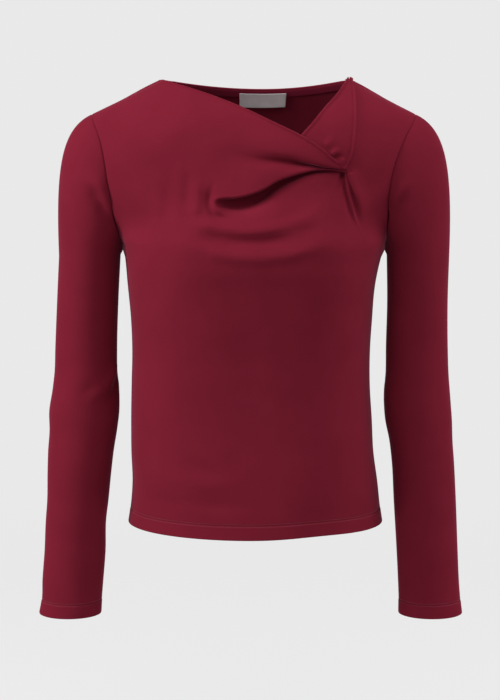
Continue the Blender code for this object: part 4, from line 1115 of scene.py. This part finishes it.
def dress():
    """Makes every piece, attaches it to the root, and hides each imported part that a cloth piece replaces."""
    knit = knit_group()
    body = jersey("burgundy_jersey", knit, (0.138, 0.0099, 0.0212), (0.186, 0.0142, 0.0297))
    # the tape is the body's burgundy jersey in a lighter colour: painted light for the light that reaches
    # inside the back neck
    tape_jersey_painted_lighter = jersey("burgundy_tape_painted_light", knit, (0.19, 0.0145, 0.034), (0.25, 0.0196, 0.046))
    hem_thread = thread("burgundy_thread", (0.21, 0.022, 0.042))
    panel = back_panel()
    front, back, strap = make_front(body), make_back(panel, body), make_strap(body)
    tape, label = make_tape(panel, tape_jersey_painted_lighter), make_label(panel, satin_label("grey_satin_painted_light"))
    right = make_sleeve("right_sleeve", -1, RIGHT_SLEEVE, RIGHT_SLEEVE_FOLDS, body)
    left = make_sleeve("left_sleeve", 1, LEFT_SLEEVE, LEFT_SLEEVE_FOLDS, body)
    panels = ["front_panel", "back_panel"]
    sheets = (
        Sheet(front, "front", (0.43, 0.6), 0.205, "stretched", ["back_panel"]),
        Sheet(back, "back", (0.43, 0.55), 0.205, "stretched", ["front_panel"]),
        Sheet(strap, "neck_strap", (0.07, 0.125), 0.0048, "draped", ["front_panel"]),
        Sheet(tape, "neck_tape", (0.0105, 0.215), None, "folded", ["back_panel"]),
        Sheet(label, "size_label", (0.0555, 0.017), None, "hung", ["back_neck_tape"]),
        Sheet(right, "sleeve_right", (0.33, 0.62), 0.145, "stretched", panels),
        Sheet(left, "sleeve_left", (0.33, 0.62), 0.145, "stretched", panels),
    )
    for sheet in sheets:
        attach(sheet.piece, "root")
        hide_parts(sheet.node)
    threads = (
        (edge_stitches("hem_stitches", hem_ring, HEM_Z, hem_thread, centre=0), "front"),
        (cuff_stitches("right_cuff_stitches", RIGHT_SLEEVE, -1, hem_thread), "sleeve_right"),
        (cuff_stitches("left_cuff_stitches", LEFT_SLEEVE, 1, hem_thread), "sleeve_left"),
    )
    for piece, slot in threads:
        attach(piece, "root")


SURROUND = (0.815, 0.815, 0.815, 1)
SURROUND_LIGHT = 0.26  # how strongly it lights the top
FLOOR_Z = -0.86
FLOOR_RADIUS = 2.4
FLOOR_RINGS, FLOOR_SIDES = 24, 96
LAMPS_AIM = Vector((0, 0, -0.3))
Lamp = namedtuple("Lamp", "name turn height away size power")
LAMPS = (
    Lamp("key", -70, 30, 2.2, (0.6, 1.4), 46.0),
    Lamp("fill", 75, 40, 2.2, (0.6, 1.4), 13.0),
    Lamp("side", 95, 30, 2.2, (0.6, 1.4), 19.0),
    Lamp("front", 0, 20, 2.4, (1.8, 1.4), 6.0),
    Lamp("top", 0, 60, 2.2, (1.8, 1.4), 15.0),
)
CAMERA_LENS = 105.63
CAMERA_PLACE, CAMERA_AIM = Vector((-0.00531, -2.4, 0.02)), Vector((-0.00531, 0, -0.317))


def aimed(name, data, place, aim):
    """A lamp or camera at place that looks at aim."""
    made = link_object(name, data)
    made.location = place
    made.rotation_euler = (aim - place).to_track_quat("-Z", "Y").to_euler()
    return made


def make_surround():
    """A pale surround, which is dimmer as a light than the camera sees it."""
    world = bpy.data.worlds.new("studio")
    world.use_nodes = True
    n = Nodes(world.node_tree)
    seen = n.tree.nodes["Background"]
    seen.inputs["Color"].default_value = SURROUND
    dim = n.add("ShaderNodeBackground", {"Color": SURROUND, "Strength": SURROUND_LIGHT})
    camera_sees = n.add("ShaderNodeLightPath").outputs["Is Camera Ray"]
    mix = n.add("ShaderNodeMixShader", {0: camera_sees, 1: dim.outputs[0], 2: seen.outputs[0]})
    n.fill(n.tree.nodes["World Output"], {"Surface": mix.outputs[0]})
    bpy.context.scene.world = world


def make_floor():
    """A plain round floor that fades into the surround with its distance from the middle."""
    radius = np.linspace(0.0, FLOOR_RADIUS, FLOOR_RINGS + 1)[1:, None]
    angle = 2 * math.pi * np.arange(FLOOR_SIDES) / FLOOR_SIDES
    flat = np.full((FLOOR_RINGS, FLOOR_SIDES), FLOOR_Z)
    rings = np.stack([radius * np.cos(angle), radius * np.sin(angle), flat], axis=-1)
    points = np.concatenate([[[0, 0, FLOOR_Z]], rings.reshape(-1, 3)])
    numbers = 1 + ring_numbers(FLOOR_RINGS, FLOOR_SIDES)
    middle = np.stack([np.zeros(FLOOR_SIDES, int), numbers[0, :-1], numbers[0, 1:]], axis=1)
    mesh = bpy.data.meshes.new("floor")
    mesh.from_pydata(points.tolist(), [], middle.tolist() + grid_faces(numbers)[:, [0, 3, 2, 1]].tolist())
    material, n, shader = new_material("pale_floor")
    away = n.add("ShaderNodeVectorMath", {0: n.place()}, operation="LENGTH").outputs["Value"]
    fade = {"Value": away, "From Min": 1.0, "From Max": 2.0, "To Min": 1.0, "To Max": 0.0}
    n.fill(
        shader,
        {
            "Base Color": (0.13, 0.13, 0.13, 1),
            "Roughness": 0.9,
            "Specular IOR Level": 0.0,
            "Emission Color": (0.7, 0.7, 0.7, 1),
            "Emission Strength": 1.0,
            "Alpha": n.add("ShaderNodeMapRange", fade, interpolation_type="SMOOTHSTEP").outputs[0],
        },
    )
    mesh.materials.append(material)
    link_object("floor", mesh)


def light_studio():
    """Large soft lamps round the top, each at its turn to the left or right of the front and its height."""
    for lamp in LAMPS:
        turn, height = math.radians(lamp.turn), math.radians(lamp.height)
        level_part, rise = math.cos(height), math.sin(height)
        away = Vector((math.sin(turn) * level_part, -math.cos(turn) * level_part, rise))
        light = bpy.data.lights.new(lamp.name, "AREA")
        light.shape = "RECTANGLE"
        light.size, light.size_y = lamp.size
        light.energy = lamp.power
        aimed(lamp.name, light, LAMPS_AIM + lamp.away * away, LAMPS_AIM)


def place_camera():
    """Camera straight in front of the top, level with its shoulders, tilted down to its middle."""
    camera = bpy.data.cameras.new("camera")
    camera.sensor_width = 36
    camera.lens = CAMERA_LENS
    bpy.context.scene.camera = aimed("camera", camera, CAMERA_PLACE, CAMERA_AIM)


dress()
make_surround()
make_floor()
light_studio()
place_camera()
bpy.context.scene.view_settings.view_transform = "Standard"
